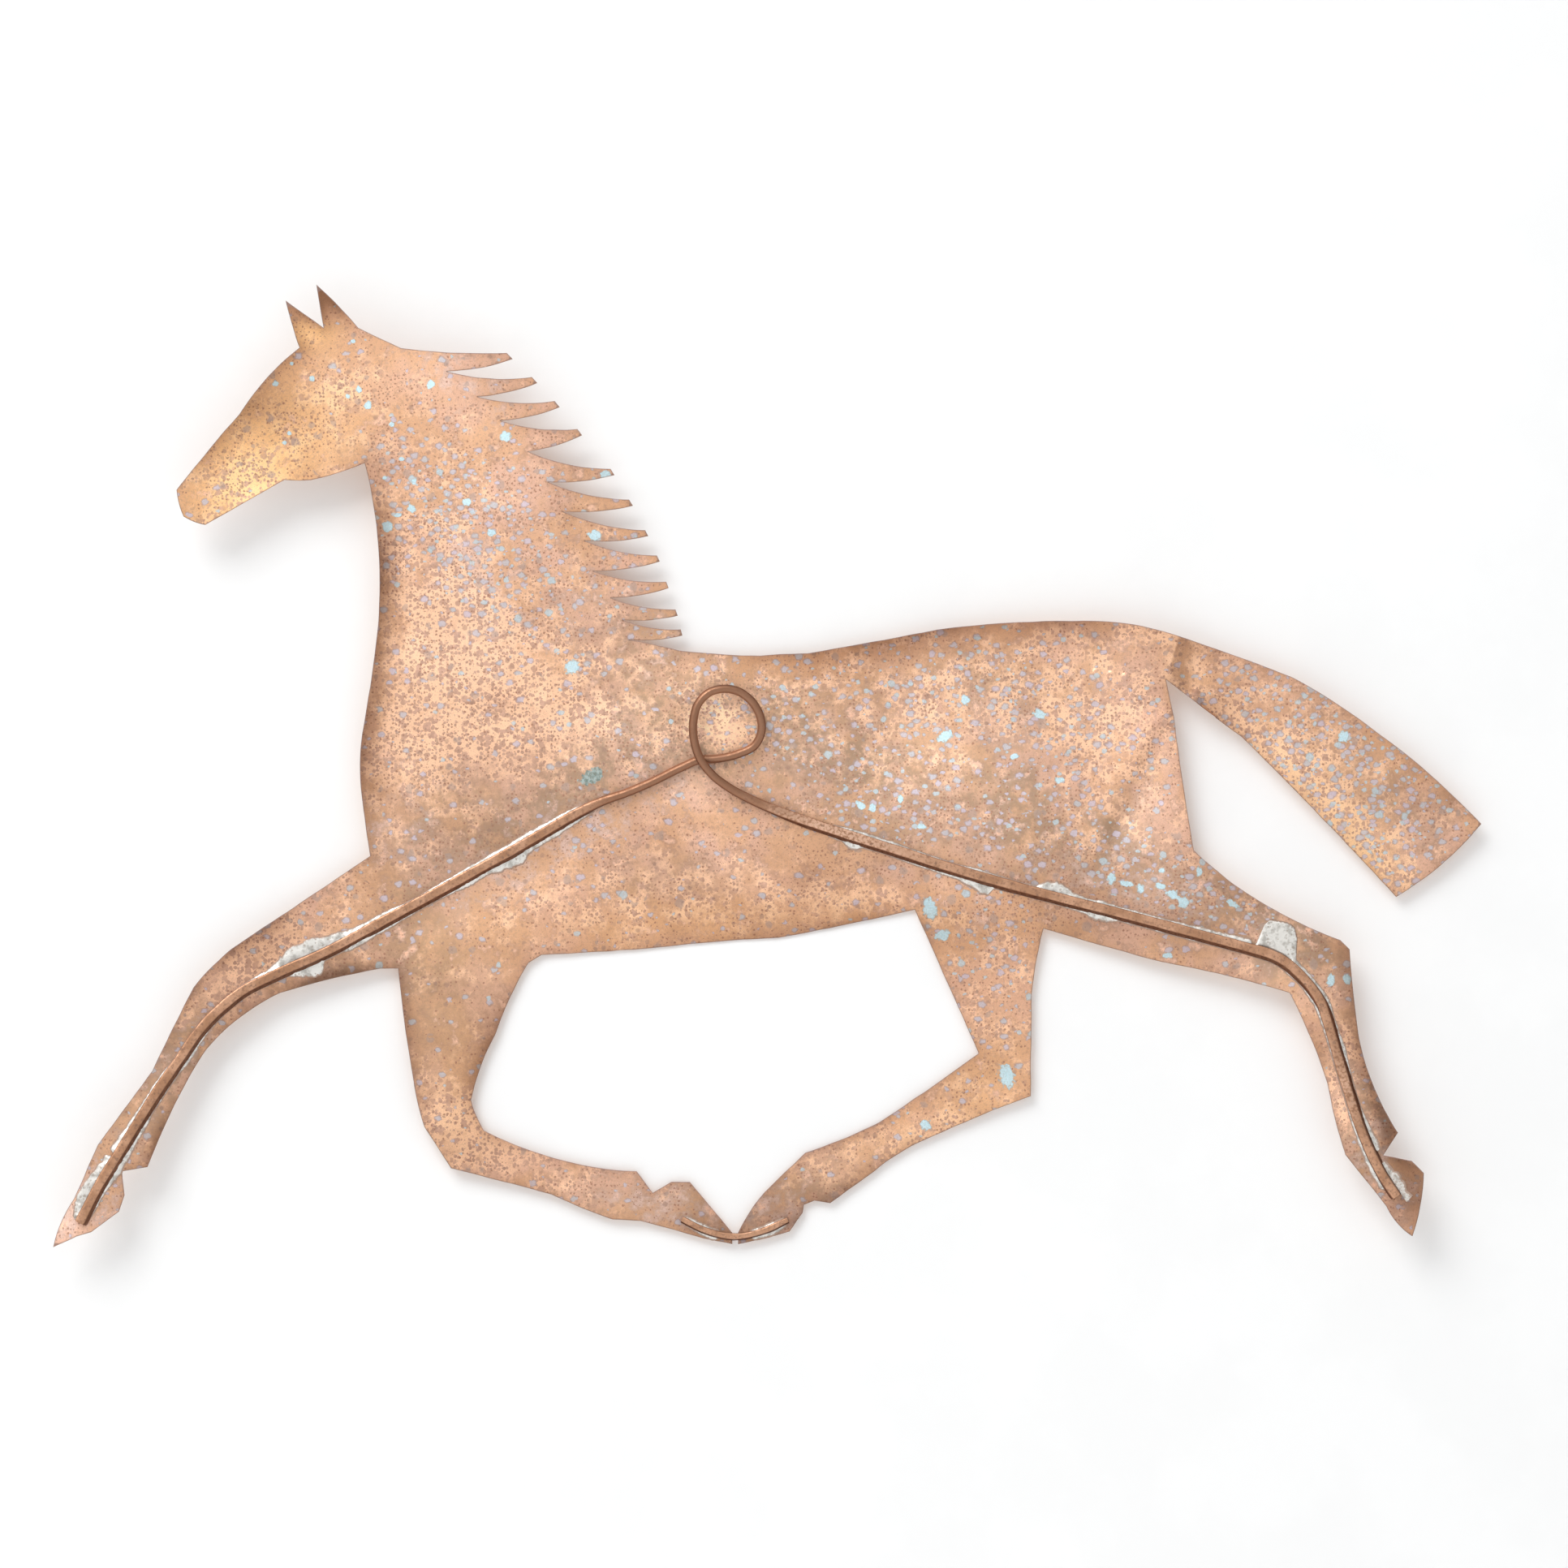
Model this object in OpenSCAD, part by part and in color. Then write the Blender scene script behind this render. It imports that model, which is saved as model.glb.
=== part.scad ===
// Running horse weather vane figure: one cut and dished copper sheet, stiffened on its
// back by a brace rod that crosses over itself to make the hanging loop, with a short
// tie joining the two tucked-up hooves. The rod and the tie are soft-soldered on.
//
// The figure stands upright with +Z up and its nose towards -X. The braced back faces -Y.
// The origin is the middle of the hanging loop.

/* [Sheet] */
// Length of the figure from the reaching fore hoof to the tip of the tail
figure_length = 536; // [480:1:620]
// Thickness of the copper sheet
sheet_thickness = 0.8; // [0.6:0.1:1.2]
// Radius of the shallow dish that the sheet is beaten to
dish_radius = 2000; // [1600:50:4000]
// Angle that the tail is folded at its root, away from the braced side
tail_fold = 6; // [2:0.5:10]
// Number of raised punch dots beside the tail
punch_dots = 3; // [1:1:4]

/* [Brace rod] */
// Diameter of the round rod in the loop
rod_diameter = 3.2; // [2.6:0.1:3.6]
// Width of the rod where it is hammered flat along the legs
flat_width = 4.6; // [3.8:0.1:5]
// Height of the rod where it is hammered flat
flat_height = 2.3; // [1.8:0.1:3]
// Gap between the sheet and the lower pass where the rod crosses itself
loop_gap = 1; // [0.6:0.1:2]

/* [Hoof tie] */
// Width of the flattened tie
tie_width = 2.8; // [2.2:0.1:3.2]
// Height of the tie above the sheet
tie_height = 2; // [1.4:0.1:2.6]

/* [Solder] */
// Height of the solder seams above the sheet
seam_height = 0.9; // [0.5:0.1:1.4]
// Usual width of a solder seam beside the rod
seam_width = 1.3; // [0.8:0.1:1.8]
// Height of the solder pools
pool_height = 1.2; // [0.8:0.1:1.6]

/* [Hidden] */
// Piece to draw, or all of them

// Every plan dimension below is for a figure 536 mm long and follows this scale
k = figure_length / 536;
// Film left between a soldered piece and what it is soldered to
film = 0.03;
// Deepest point of the dish, in plan
dish_x = 10 * k;
dish_z = -20 * k;
// The sheet's back face lies this far behind the middle of the loop
stand_off = loop_gap + 0.7 * rod_diameter + rod_diameter / 2;
// Rise from the lower pass of the rod to the upper one
cross_rise = rod_diameter + 0.25;
// Longest straight step along a bowed edge, and along the rod's bends and its legs
edge_step = 7;
bend_step = 2.2;
leg_step = 6;
// Sides of the rod's section
section_sides = 16;
// Thickness of the cutting blocks, well over the depth of the dish
block = 140;

copper = [0.76, 0.50, 0.35];
rod_copper = [0.66, 0.42, 0.30];
solder_grey = [0.80, 0.80, 0.78];

// ---- Outline of the sheet, clockwise as seen from the braced side ----
// Each corner is [x, z, bow], where bow is how far the edge that follows stands
// outwards (+) or inwards (-) at its middle.

ears = [
  [-165.5, 159, 0], // front ear
  [-151.5, 149, 0],
  [-154, 165, 0.4], // back ear
  [-138.5, 149, 0],
  [-122.5, 141.5, -0.8], // poll
];

// Mane strands from the poll to the withers: [tip x, tip z, notch x, notch z]
mane = [
  [-83, 140, -105.5, 133],
  [-73.5, 131, -94, 123.5],
  [-65, 122, -85.5, 114.5],
  [-56.5, 111.5, -75, 103],
  [-44, 96.5, -67.5, 91.5],
  [-37, 85, -62, 80.5],
  [-31, 73.5, -54, 69.5],
  [-26.5, 64, -50.5, 58],
  [-23, 54, -44, 48],
  [-19.5, 43.5, -39.5, 39.5],
  [-17.5, 36, -37, 32],
];
// How hollow a strand's upper edge is and how full its lower edge, as shares of its length
strand_hollow = 0.05;
strand_belly = 0.04;

back = [
  [-18, 28, -0.3], // withers
  [12.5, 26, 0.2],
  [30.5, 27, -0.2],
  [79.5, 36, 1.1], // croup
  [139, 39, 1.2],
];

// The tail starts and ends at the two ends of its fold
tail = [
  [170, 33.5, 0.3],
  [213, 18, 0.8],
  [246, -3.5, 1.3],
  [284.5, -37.5, 1.9], // cut end
  [252.5, -65, -0.6],
  [194, -4.5, 0.2],
  [165.5, 17, 0],
];

hind_leg = [
  [168.5, 2.5, -0.3], // buttock
  [176, -47.5, -1],
  [203, -68, -0.7],
  [230.5, -81, 0], // hock
  [234, -84.5, -0.2],
  [237, -116, -1.9],
  [251.5, -153, 0],
  [246, -161.5, 0], // pastern notch
  [256.5, -163.5, 0],
  [261, -168, 0.9],
  [256.5, -191.5, 1.1], // toe
  [247, -180.5, 0],
  [232, -161.5, 0.4],
  [225.5, -135, -0.9],
  [211.5, -101, -0.8],
  [164, -89.5, 0.2],
  [119.5, -77, -0.5],
];

tucked_hind_leg = [
  [115, -101.5, 0],
  [114.5, -140, -0.3], // point of the hock
  [80.5, -154, -1.1],
  [56, -168, 0],
  [39, -180.5, 0],
  [33, -179.5, 0],
  [29, -181, 0],
  [28.5, -184, 0],
  [23.5, -191, 0.3], // hoof
  [4.2, -195.8, 0],
  [4.2, -191.5, 0.6],
  [14, -176.5, 0],
  [29.5, -161.5, -0.6],
  [57.5, -150, -0.3],
  [95, -124, 0],
  [71, -70, 0],
];

belly = [
  [67, -70.8, 0.3],
  [19.5, -80.5, -0.4],
  [-23.5, -84, 0.2],
  [-70, -87, 0],
  [-75, -90, -0.8],
];

tucked_foreleg = [
  [-87.5, -117, -0.9],
  [-96.5, -141.5, -0.5], // knee
  [-91.5, -153, -1.2],
  [-57, -165.5, -0.6],
  [-34, -168.5, 0],
  [-28, -176.5, 0], // pastern notch
  [-21, -172.5, 0],
  [-14, -172.5, 0],
  [2, -191.5, 0], // hoof
  [2, -195.8, 0],
  [-9, -193.5, 0],
  [-32.5, -187, 0],
  [-43, -186.5, 0.4],
  [-66, -177, 0],
  [-104, -167, 0],
  [-114, -151.5, 0.5],
  [-118, -134.5, 0.4],
  [-124, -92, 0],
  [-130.5, -92, -0.6],
];

reaching_foreleg = [
  [-168, -101, -1.9],
  [-195.5, -122, -0.5],
  [-208.5, -145.5, -0.2],
  [-217, -166, 0],
  [-226.5, -167.5, 0], // pastern notch
  [-225.5, -176.5, 0],
  [-227.5, -182.5, 0],
  [-237.5, -190, 0],
  [-243, -191.5, 0],
  [-251.5, -195.5, 1], // toe
  [-244, -177.5, 0],
  [-235.5, -157.5, 0],
  [-215.5, -130, 0.2],
  [-200.5, -99, 0.5], // knee
  [-186.5, -84.5, 0],
];

chest_and_head = [
  [-134.5, -49.5, 0.2], // elbow
  [-138, -23.5, 0.5],
  [-137.5, -3.5, -0.4],
  [-131.5, 37.5, -0.6],
  [-131.5, 69, -0.6],
  [-136.5, 98.5, 0.5], // throat
  [-156.5, 92, 0.2],
  [-166.5, 92, 0],
  [-196, 75, 0.4], // chin
  [-204, 78, 0.5],
  [-206.5, 88, 0.2], // muzzle
  [-183, 116.5, 0.3],
  [-172.5, 130.5, 0.2],
  [-160.5, 141.5, 0.2],
];

// ---- Route of the brace rod, from the fore hoof over the loop to the hind hoof ----
// Each point is [x, z, gap under the rod, flatness], where flatness runs from 0, round,
// to 1, hammered flat. The curve through the points is smooth.

fore_run = [
  [-241.3, -186.6, 0, 1], // end on the fore hoof
  [-234.3, -172.5, 0, 1],
  [-226.9, -160.4, 0, 1],
  [-219.7, -148.4, 0, 1],
  [-212.1, -136.3, 0, 1],
  [-203.9, -124.2, 0, 1],
  [-199.9, -118.1, 0, 1],
  [-195, -112.1, 0, 1], // knee
  [-188.8, -106, 0, 1],
  [-181.6, -100.3, 0, 1],
  [-169.8, -94.5, 0, 1],
  [-151.6, -86.3, 0, 1],
  [-127.3, -73.4, 0, 1],
  [-102.9, -60.1, 0, 1],
  [-78.5, -46.5, 0, 1],
  [-66.2, -39.4, 0, 1],
  [-56.4, -33.6, 0, 0.8],
  [-47.2, -29, 0.2 * loop_gap, 0.3],
  [-38, -25.7, 0.5 * loop_gap, 0],
  [-28.8, -21.8, 0.8 * loop_gap, 0],
];

// The loop turns once about the origin and climbs over its own start
loop_run = [
  [-16.5, -15.8, loop_gap, 0],
  [-10.1, -13.2, loop_gap, 0], // lower pass
  [-5, -13, loop_gap, 0],
  [4.3, -11, loop_gap + 0.15 * cross_rise, 0],
  [10.6, -7.7, loop_gap + 0.3 * cross_rise, 0],
  [13.1, -1.5, loop_gap + 0.42 * cross_rise, 0],
  [12.1, 4.2, loop_gap + 0.52 * cross_rise, 0],
  [8.6, 9.5, loop_gap + 0.61 * cross_rise, 0],
  [4.3, 12.5, loop_gap + 0.69 * cross_rise, 0],
  [-1.2, 13.5, loop_gap + 0.77 * cross_rise, 0],
  [-6.5, 12.2, loop_gap + 0.85 * cross_rise, 0],
  [-10.6, 8.3, loop_gap + 0.92 * cross_rise, 0],
  [-12.7, 1.2, loop_gap + cross_rise, 0],
  [-12.4, -5.8, loop_gap + 1.05 * cross_rise, 0],
  [-10.1, -12.9, loop_gap + 1.04 * cross_rise, 0], // upper pass
  [-5.5, -19, loop_gap + 0.85 * cross_rise, 0],
  [0.9, -23.9, loop_gap + 0.5 * cross_rise, 0.1],
];

hind_run = [
  [9.8, -28.7, loop_gap, 0.3],
  [19.7, -33, 0.4 * loop_gap, 0.6],
  [31.9, -37.6, 0, 1],
  [50.4, -43.6, 0, 1],
  [62.6, -47.4, 0, 1],
  [74.9, -51.5, 0, 1],
  [93.3, -57.1, 0, 1],
  [123.8, -65.4, 0, 1],
  [154.3, -73.2, 0, 1],
  [184.7, -81.3, 0, 1],
  [196.9, -84.6, 0, 1],
  [203.5, -86.5, 0, 1],
  [209.3, -89.3, 0, 1],
  [214.7, -93.8, 0, 1], // hock
  [220.2, -99.9, 0, 1],
  [224.1, -106, 0, 1],
  [226.2, -112, 0, 1],
  [229.7, -124.2, 0, 1],
  [233.2, -136.3, 0, 1],
  [236.9, -148.4, 0, 1],
  [241.6, -160.5, 0, 1],
  [247, -171.3, 0, 1],
  [250.6, -176.7, 0, 1], // end on the hind hoof
];

// Centre line of the hoof tie
tie_run = [
  [-17, -186.5],
  [-8, -190.8],
  [3, -193],
  [13.5, -191],
  [23, -186.8],
];

// ---- Bowed edges ----

function xz(p) = [p[0], p[1]] * k;

// Points along the arc that leaves p, up to but not including q
function bowed(p, q, bow) =
  let (
    chord = norm(q - p),
    along = (q - p) / chord,
    out = [-along[1], along[0]],
    radius = (chord * chord / 4 + bow * bow) / (2 * abs(bow)),
    steps = ceil(chord / edge_step)
  )
  abs(bow) < 0.05 || steps < 2
    ? [p]
    : [
        for (i = [0 : steps - 1])
          let (
            t = chord * i / steps,
            rise = sqrt(radius * radius - pow(t - chord / 2, 2)) - (radius - abs(bow))
          )
          p + along * t + out * rise * sign(bow)
      ];

// Outline through corners [x, z, bow], closed back to the first corner
function outline(corners) = [
  for (i = [0 : len(corners) - 1])
    let (
      p = corners[i],
      q = corners[(i + 1) % len(corners)]
    )
    each bowed(xz(p), xz(q), p[2] * k)
];

// A strand's blunt tip and the notch below it; the edge after the notch is the next strand's
function strand(i) =
  let (
    s = mane[i],
    last = i == len(mane) - 1,
    slant = 2.2 - 0.16 * i,
    tip = [s[0], s[1]],
    under = tip + [slant, -2.3],
    notch = [s[2], s[3]],
    next = last ? notch : [mane[i + 1][0], mane[i + 1][1]]
  )
  [
    [tip[0], tip[1], 0],
    [under[0], under[1], strand_belly * norm(notch - under)],
    [notch[0], notch[1], last ? 0.3 : -strand_hollow * norm(next - notch)],
  ];

// The body ends at the tail's fold
function body_corners() = concat(
  ears,
  [for (i = [0 : len(mane) - 1]) each strand(i)],
  back,
  [[170, 33.5, 0], [165.5, 17, 0]],
  hind_leg,
  tucked_hind_leg,
  belly,
  tucked_foreleg,
  reaching_foreleg,
  chest_and_head
);

// ---- Smooth curve through points of any dimension ----

function slope(points, i) =
  i == 0
    ? (points[1] - points[0]) / norm(xz(points[1]) - xz(points[0]))
    : i == len(points) - 1
        ? (points[i] - points[i - 1]) / norm(xz(points[i]) - xz(points[i - 1]))
        : let (
            before = norm(xz(points[i]) - xz(points[i - 1])),
            after = norm(xz(points[i + 1]) - xz(points[i]))
          )
          (
            (points[i] - points[i - 1]) / before * after
            + (points[i + 1] - points[i]) / after * before
          ) / (before + after);

function smooth(points, steps) = [
  for (i = [0 : len(points) - 2])
    let (
      p = points[i],
      q = points[i + 1],
      span = norm(xz(q) - xz(p)),
      m0 = slope(points, i) * span,
      m1 = slope(points, i + 1) * span,
      n = max(1, round(span / steps[i]))
    )
    for (j = [0 : n - 1])
      let (t = j / n)
      p * (2 * pow(t, 3) - 3 * t * t + 1)
      + m0 * (pow(t, 3) - 2 * t * t + t)
      + q * (3 * t * t - 2 * pow(t, 3))
      + m1 * (pow(t, 3) - t * t),
  points[len(points) - 1],
];

rod_points = concat(fore_run, loop_run, hind_run);
rod_steps = [
  for (i = [0 : len(rod_points) - 2])
    i >= len(fore_run) - 1 && i < len(fore_run) + len(loop_run) ? bend_step : leg_step
];
rod_path = smooth(rod_points, rod_steps);
tie_path = smooth(tie_run, [for (i = [0 : len(tie_run) - 2]) 3]);

// Unit normal of a plan curve at point i, to the left of its direction
function left_of(path, i) =
  let (
    a = path[max(i - 1, 0)],
    b = path[min(i + 1, len(path) - 1)],
    d = [b[0] - a[0], b[1] - a[1]]
  )
  [-d[1], d[0]] / norm(d);

// ---- The dish ----

// Depth of the sheet's back face at a plan point
function dish_y(p) =
  stand_off
  - (dish_radius - sqrt(pow(dish_radius, 2) - pow(p[0] - dish_x, 2) - pow(p[1] - dish_z, 2)));

// The layer between two heights above the sheet's back face; heights grow towards -Y
module layer(low, high) {
  translate([dish_x, stand_off - dish_radius, dish_z])
    difference() {
      sphere(r = dish_radius - low, $fn = 360);
      sphere(r = dish_radius - high, $fn = 360);
    }
}

// A block of the given plan shape that reaches right through the dish
module plan_block() {
  rotate([90, 0, 0])
    translate([0, 0, -block / 2])
      linear_extrude(block)
        children();
}

// The same layer, turned about the tail's fold
module tail_layer(low, high) {
  top = xz(tail[0]);
  bottom = xz(tail[len(tail) - 1]);
  fold = [top[0] - bottom[0], 0, top[1] - bottom[1]];
  hinge = [bottom[0], dish_y((top + bottom) / 2), bottom[1]];
  translate(hinge)
    rotate(a = tail_fold, v = fold)
      translate(-hinge)
        layer(low, high);
}

// ---- Pieces ----

module punch_dot(x, z, r, height) {
  cap = (r * r + height * height) / (2 * height);
  p = [x, z] * k;
  translate([p[0], dish_y(p) + cap - height, p[1]])
    sphere(r = cap, $fn = 96);
}

// The cut and dished sheet, with its folded tail and the maker's punch dots
module horse_sheet() {
  overlap = 0.4;
  top = tail[0];
  bottom = tail[len(tail) - 1];
  color(copper) {
    intersection() {
      plan_block() polygon(outline(body_corners()));
      layer(-sheet_thickness, 0);
    }
    intersection() {
      plan_block()
        polygon(
          outline(
            concat(
              tail,
              [
                [bottom[0] - overlap, bottom[1] + 0.1, 0],
                [top[0] - overlap, top[1] + 0.1, 0],
              ]
            )
          )
        );
      tail_layer(-sheet_thickness, 0);
    }
    intersection() {
      union() {
        for (i = [0 : punch_dots - 1])
          punch_dot(139.5 + 5.5 * i, 19.5 - 0.8 * i, 1.9, 0.5);
      }
      layer(-sheet_thickness / 2, 1);
    }
  }
}

// Section of the rod at one point of its path: round in the loop, square-sided on the legs
function rod_ring(path, i) =
  let (
    p = path[i],
    plan = xz(p),
    flat = min(1, max(0, p[3])),
    half_w = (1 - flat) * rod_diameter / 2 + flat * flat_width / 2,
    half_h = (1 - flat) * rod_diameter / 2 + flat * flat_height / 2,
    power = 2 / (2 + 4 * flat),
    side = left_of(path, i),
    middle_y = dish_y(plan) - film - max(0, p[2]) - half_h
  )
  [
    for (j = [0 : section_sides - 1])
      let (
        a = 360 * j / section_sides,
        across = half_w * sign(cos(a)) * pow(abs(cos(a)), power),
        up = half_h * sign(sin(a)) * pow(abs(sin(a)), power)
      )
      [plan[0] + side[0] * across, middle_y - up, plan[1] + side[1] * across]
  ];

// The brace rod: up the reaching foreleg, once round the loop and down the hind leg
module brace_rod() {
  n = section_sides;
  rings = len(rod_path);
  points = [for (i = [0 : rings - 1]) each rod_ring(rod_path, i)];
  walls = [
    for (i = [0 : rings - 2])
      for (j = [0 : n - 1])
        let (
          a = i * n + j,
          b = i * n + (j + 1) % n
        )
        each [[a, a + n, b], [b, a + n, b + n]]
  ];
  ends = [[for (j = [0 : n - 1]) j], [for (j = [n - 1 : -1 : 0]) (rings - 1) * n + j]];
  color(rod_copper)
    polyhedron(points, concat(walls, ends));
}

// Plan shape of a band beside a path, between two distances on its left side, over the
// points first to last. The outer edge is wavy, and the band tapers at both ends.
function beside(path, first, last, inner, width, wave) =
  concat(
    [for (i = [first : last]) xz(path[i]) + left_of(path, i) * inner],
    [
      for (i = [last : -1 : first])
        let (
          share = (i - first) / (last - first),
          taper = min(1, 0.35 + 6 * min(share, 1 - share)),
          ripple = 1 + wave * sin(151 * i) + wave * sin(67 * i + 40)
        )
        xz(path[i])
        + left_of(path, i) * (inner + sign(width) * abs(width) * taper * ripple)
    ]
  );

// First point of the rod's path, after from, whose x has passed a given value
function index_at(x, from) =
  rod_path[from][0] >= x || from == len(rod_path) - 1 ? from : index_at(x, from + 1);

after_loop = index_at(15, floor(len(rod_path) / 2));
// Distance from the rod's middle to its soldered side
rod_side = flat_width / 2 + film;

// A solder seam beside the rod from x0 to x1: side is 1 for above the rod, -1 for below
module rod_seam(x0, x1, from, side, width) {
  color(solder_grey)
    intersection() {
      plan_block()
        polygon(
          beside(
            rod_path,
            index_at(x0, from),
            index_at(x1, from),
            side * rod_side,
            side * width,
            0.14
          )
        );
      layer(film, seam_height);
    }
}

module fore_seam_upper() {
  rod_seam(-228, -54, 0, 1, seam_width);
}

module fore_seam_lower() {
  rod_seam(-240, -54, 0, -1, 0.9 * seam_width);
}

module hind_seam_upper() {
  rod_seam(38, 196, after_loop, 1, seam_width);
}

module hind_seam_lower() {
  rod_seam(38, 249, after_loop, -1, 0.8 * seam_width);
}

module hind_shin_seam() {
  rod_seam(214.5, 241, after_loop, 1, seam_width);
}

// Puts its children at a plan point of the dish, with +Z standing straight off the sheet
module on_dish(x, z) {
  p = [x, z] * k;
  foot = [p[0], dish_y(p), p[1]];
  off = [dish_x, stand_off - dish_radius, dish_z] - foot;
  forward = [0, -1, 0];
  translate(foot)
    rotate(a = acos(forward * off / norm(off)), v = cross(forward, off))
      rotate([90, 0, 0])
        children();
}

// The rod's path run on a little past both ends, to cut the solder round it
cut_path = concat(
  [rod_path[0] + 0.06 * (rod_path[0] - rod_path[1])],
  rod_path,
  [rod_path[len(rod_path) - 1] * 1.06 - rod_path[len(rod_path) - 2] * 0.06]
);

// Low round caps of solder run together on the sheet, cut off by the rod. Each cap is
// [x, z, radius of its foot], with x and z counted from the pool's own place.
module solder_pool(x, z, caps, first, last) {
  color(solder_grey)
    difference() {
      on_dish(x, z)
        intersection() {
          union() {
            for (c = caps) {
              ball = (c[2] * c[2] + pool_height * pool_height) / (2 * pool_height);
              translate([c[0], c[1], pool_height - ball])
                sphere(r = ball, $fn = 128);
            }
          }
          translate([-20, -20, 2.5 * film])
            cube([40, 40, 5]);
        }
      plan_block()
        polygon(beside(cut_path, first, last + 2, rod_side, -2 * rod_side - 6, 0));
    }
}

module fore_hoof_pool() {
  solder_pool(
    -237, -173.5,
    [
      [-5.5, -10.3, 2.2],
      [-4.2, -6.4, 3],
      [-2.7, -2.8, 3.2],
      [-0.6, 0.6, 3],
      [1.7, 4.2, 2.8],
      [4, 7.5, 2.6],
      [6.9, 11.5, 2.7],
    ],
    0,
    index_at(-224, 0)
  );
}

module hock_pool() {
  solder_pool(
    210.5, -80.5,
    [[-9.5, -2.3, 2.6], [-4.5, -2.5, 3.4], [0, 0.5, 5.2], [1.2, 5.2, 3.4], [2.8, -5, 3.4]],
    index_at(196, after_loop) - 1,
    index_at(219, after_loop) + 1
  );
}

module hind_hoof_pool() {
  solder_pool(
    250, -169,
    [[-1, 2.3, 2.9], [2, -2.3, 3.4], [3.5, -6.5, 2.4], [1.3, -10.2, 2.6]],
    index_at(241, after_loop),
    len(rod_path) - 1
  );
}

// The flattened tie across the two tucked-up hooves
module hoof_tie() {
  color(rod_copper)
    intersection() {
      plan_block()
        polygon(
          beside(
            tie_path, 0, len(tie_path) - 1, tie_width / 2, -tie_width, 0
          )
        );
      layer(film, tie_height);
    }
}

// A solder seam along the tie's upper side, over part of its length
module tie_seam(first, last) {
  color(solder_grey)
    intersection() {
      plan_block()
        polygon(
          beside(tie_path, first, last, tie_width / 2 + film, 0.8 * seam_width, 0.1)
        );
      layer(film, seam_height);
    }
}

module fore_tie_seam() {
  tie_seam(0, 5);
}

module hind_tie_seam() {
  tie_seam(9, len(tie_path) - 1);
}

horse_sheet();
brace_rod();
hoof_tie();
fore_seam_upper();
fore_seam_lower();
hind_seam_upper();
hind_seam_lower();
hind_shin_seam();
fore_hoof_pool();
hock_pool();
hind_hoof_pool();
fore_tie_seam();
hind_tie_seam();
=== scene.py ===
"""Running horse weather vane figure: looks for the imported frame.

Lengths in the lists below are millimetres in the row frame. X runs from nose to tail,
Z is up, and the braced back faces -Y. Meshes are made in metres.
"""
import math

import bpy
import numpy as np
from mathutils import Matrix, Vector
from mathutils.geometry import delaunay_2d_cdt
from mathutils.kdtree import KDTree


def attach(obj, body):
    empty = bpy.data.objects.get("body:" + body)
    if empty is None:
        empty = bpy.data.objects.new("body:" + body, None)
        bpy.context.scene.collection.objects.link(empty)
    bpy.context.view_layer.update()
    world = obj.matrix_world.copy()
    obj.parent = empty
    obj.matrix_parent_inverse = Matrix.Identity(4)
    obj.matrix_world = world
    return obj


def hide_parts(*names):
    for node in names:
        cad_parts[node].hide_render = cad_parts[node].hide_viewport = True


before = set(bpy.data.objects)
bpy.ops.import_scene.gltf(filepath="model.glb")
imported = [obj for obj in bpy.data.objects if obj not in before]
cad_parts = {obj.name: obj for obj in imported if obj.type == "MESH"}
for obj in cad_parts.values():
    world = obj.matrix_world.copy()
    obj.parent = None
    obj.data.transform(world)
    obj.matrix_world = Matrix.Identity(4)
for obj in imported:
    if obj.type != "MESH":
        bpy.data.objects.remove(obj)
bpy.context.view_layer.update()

MM = 0.001

# ---------------------------------------------------------------- shared sizes
SHEET = 0.8  # thickness of the copper sheet
DISH_R, DISH_X, DISH_Z = 2000.0, 10.0, -20.0  # radius of the dish, and its deepest point
TAIL_FOLD = math.radians(6)
ROD_D = 3.2
FLAT_W, FLAT_H = 4.6, 2.3  # the rod where it is hammered flat
TIE_W, TIE_H = 2.8, 2.0
LOOP_GAP = 1.0  # from the sheet to the rod, in the loop
CROSS = ROD_D + 0.25  # rise of the loop, so that its end clears its start
STAND_OFF = LOOP_GAP + 0.7 * ROD_D + ROD_D / 2  # from the frame's origin to the sheet
FILM = 0.03  # clearance between pieces that are soldered together
OUTLINE_STEP = 1.3  # between mesh points on the outline and on the tail's fold
LATTICE_STEP = 1.45  # between mesh points inside the outline

# ---------------------------------------------------------------- outline corners
# Each corner is (x, z, bow of the edge that follows), clockwise as seen from the back.
EARS = [
    (-165.5, 159, 0), (-151.5, 149, 0), (-154, 165, 0.4), (-138.5, 149, 0),
    (-122.5, 141.5, -0.8),
]
# Strands of the mane: tip x and z, then x and z of the notch under it
MANE = [
    (-83, 140, -105.5, 133), (-73.5, 131, -94, 123.5), (-65, 122, -85.5, 114.5),
    (-56.5, 111.5, -75, 103), (-44, 96.5, -67.5, 91.5), (-37, 85, -62, 80.5),
    (-31, 73.5, -54, 69.5), (-26.5, 64, -50.5, 58), (-23, 54, -44, 48),
    (-19.5, 43.5, -39.5, 39.5), (-17.5, 36, -37, 32),
]
BACK = [(-18, 28, -0.3), (12.5, 26, 0.2), (30.5, 27, -0.2), (79.5, 36, 1.1), (139, 39, 1.2)]
TAIL = [
    (170, 33.5, 0.3), (213, 18, 0.8), (246, -3.5, 1.3), (284.5, -37.5, 1.9),
    (252.5, -65, -0.6), (194, -4.5, 0.2), (165.5, 17, 0),
]
HIND_LEG = [
    (168.5, 2.5, -0.3), (176, -47.5, -1), (203, -68, -0.7), (230.5, -81, 0),
    (234, -84.5, -0.2), (237, -116, -1.9), (251.5, -153, 0), (246, -161.5, 0),
    (256.5, -163.5, 0), (261, -168, 0.9), (256.5, -191.5, 1.1), (247, -180.5, 0),
    (232, -161.5, 0.4), (225.5, -135, -0.9), (211.5, -101, -0.8), (164, -89.5, 0.2),
    (119.5, -77, -0.5),
]
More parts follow.
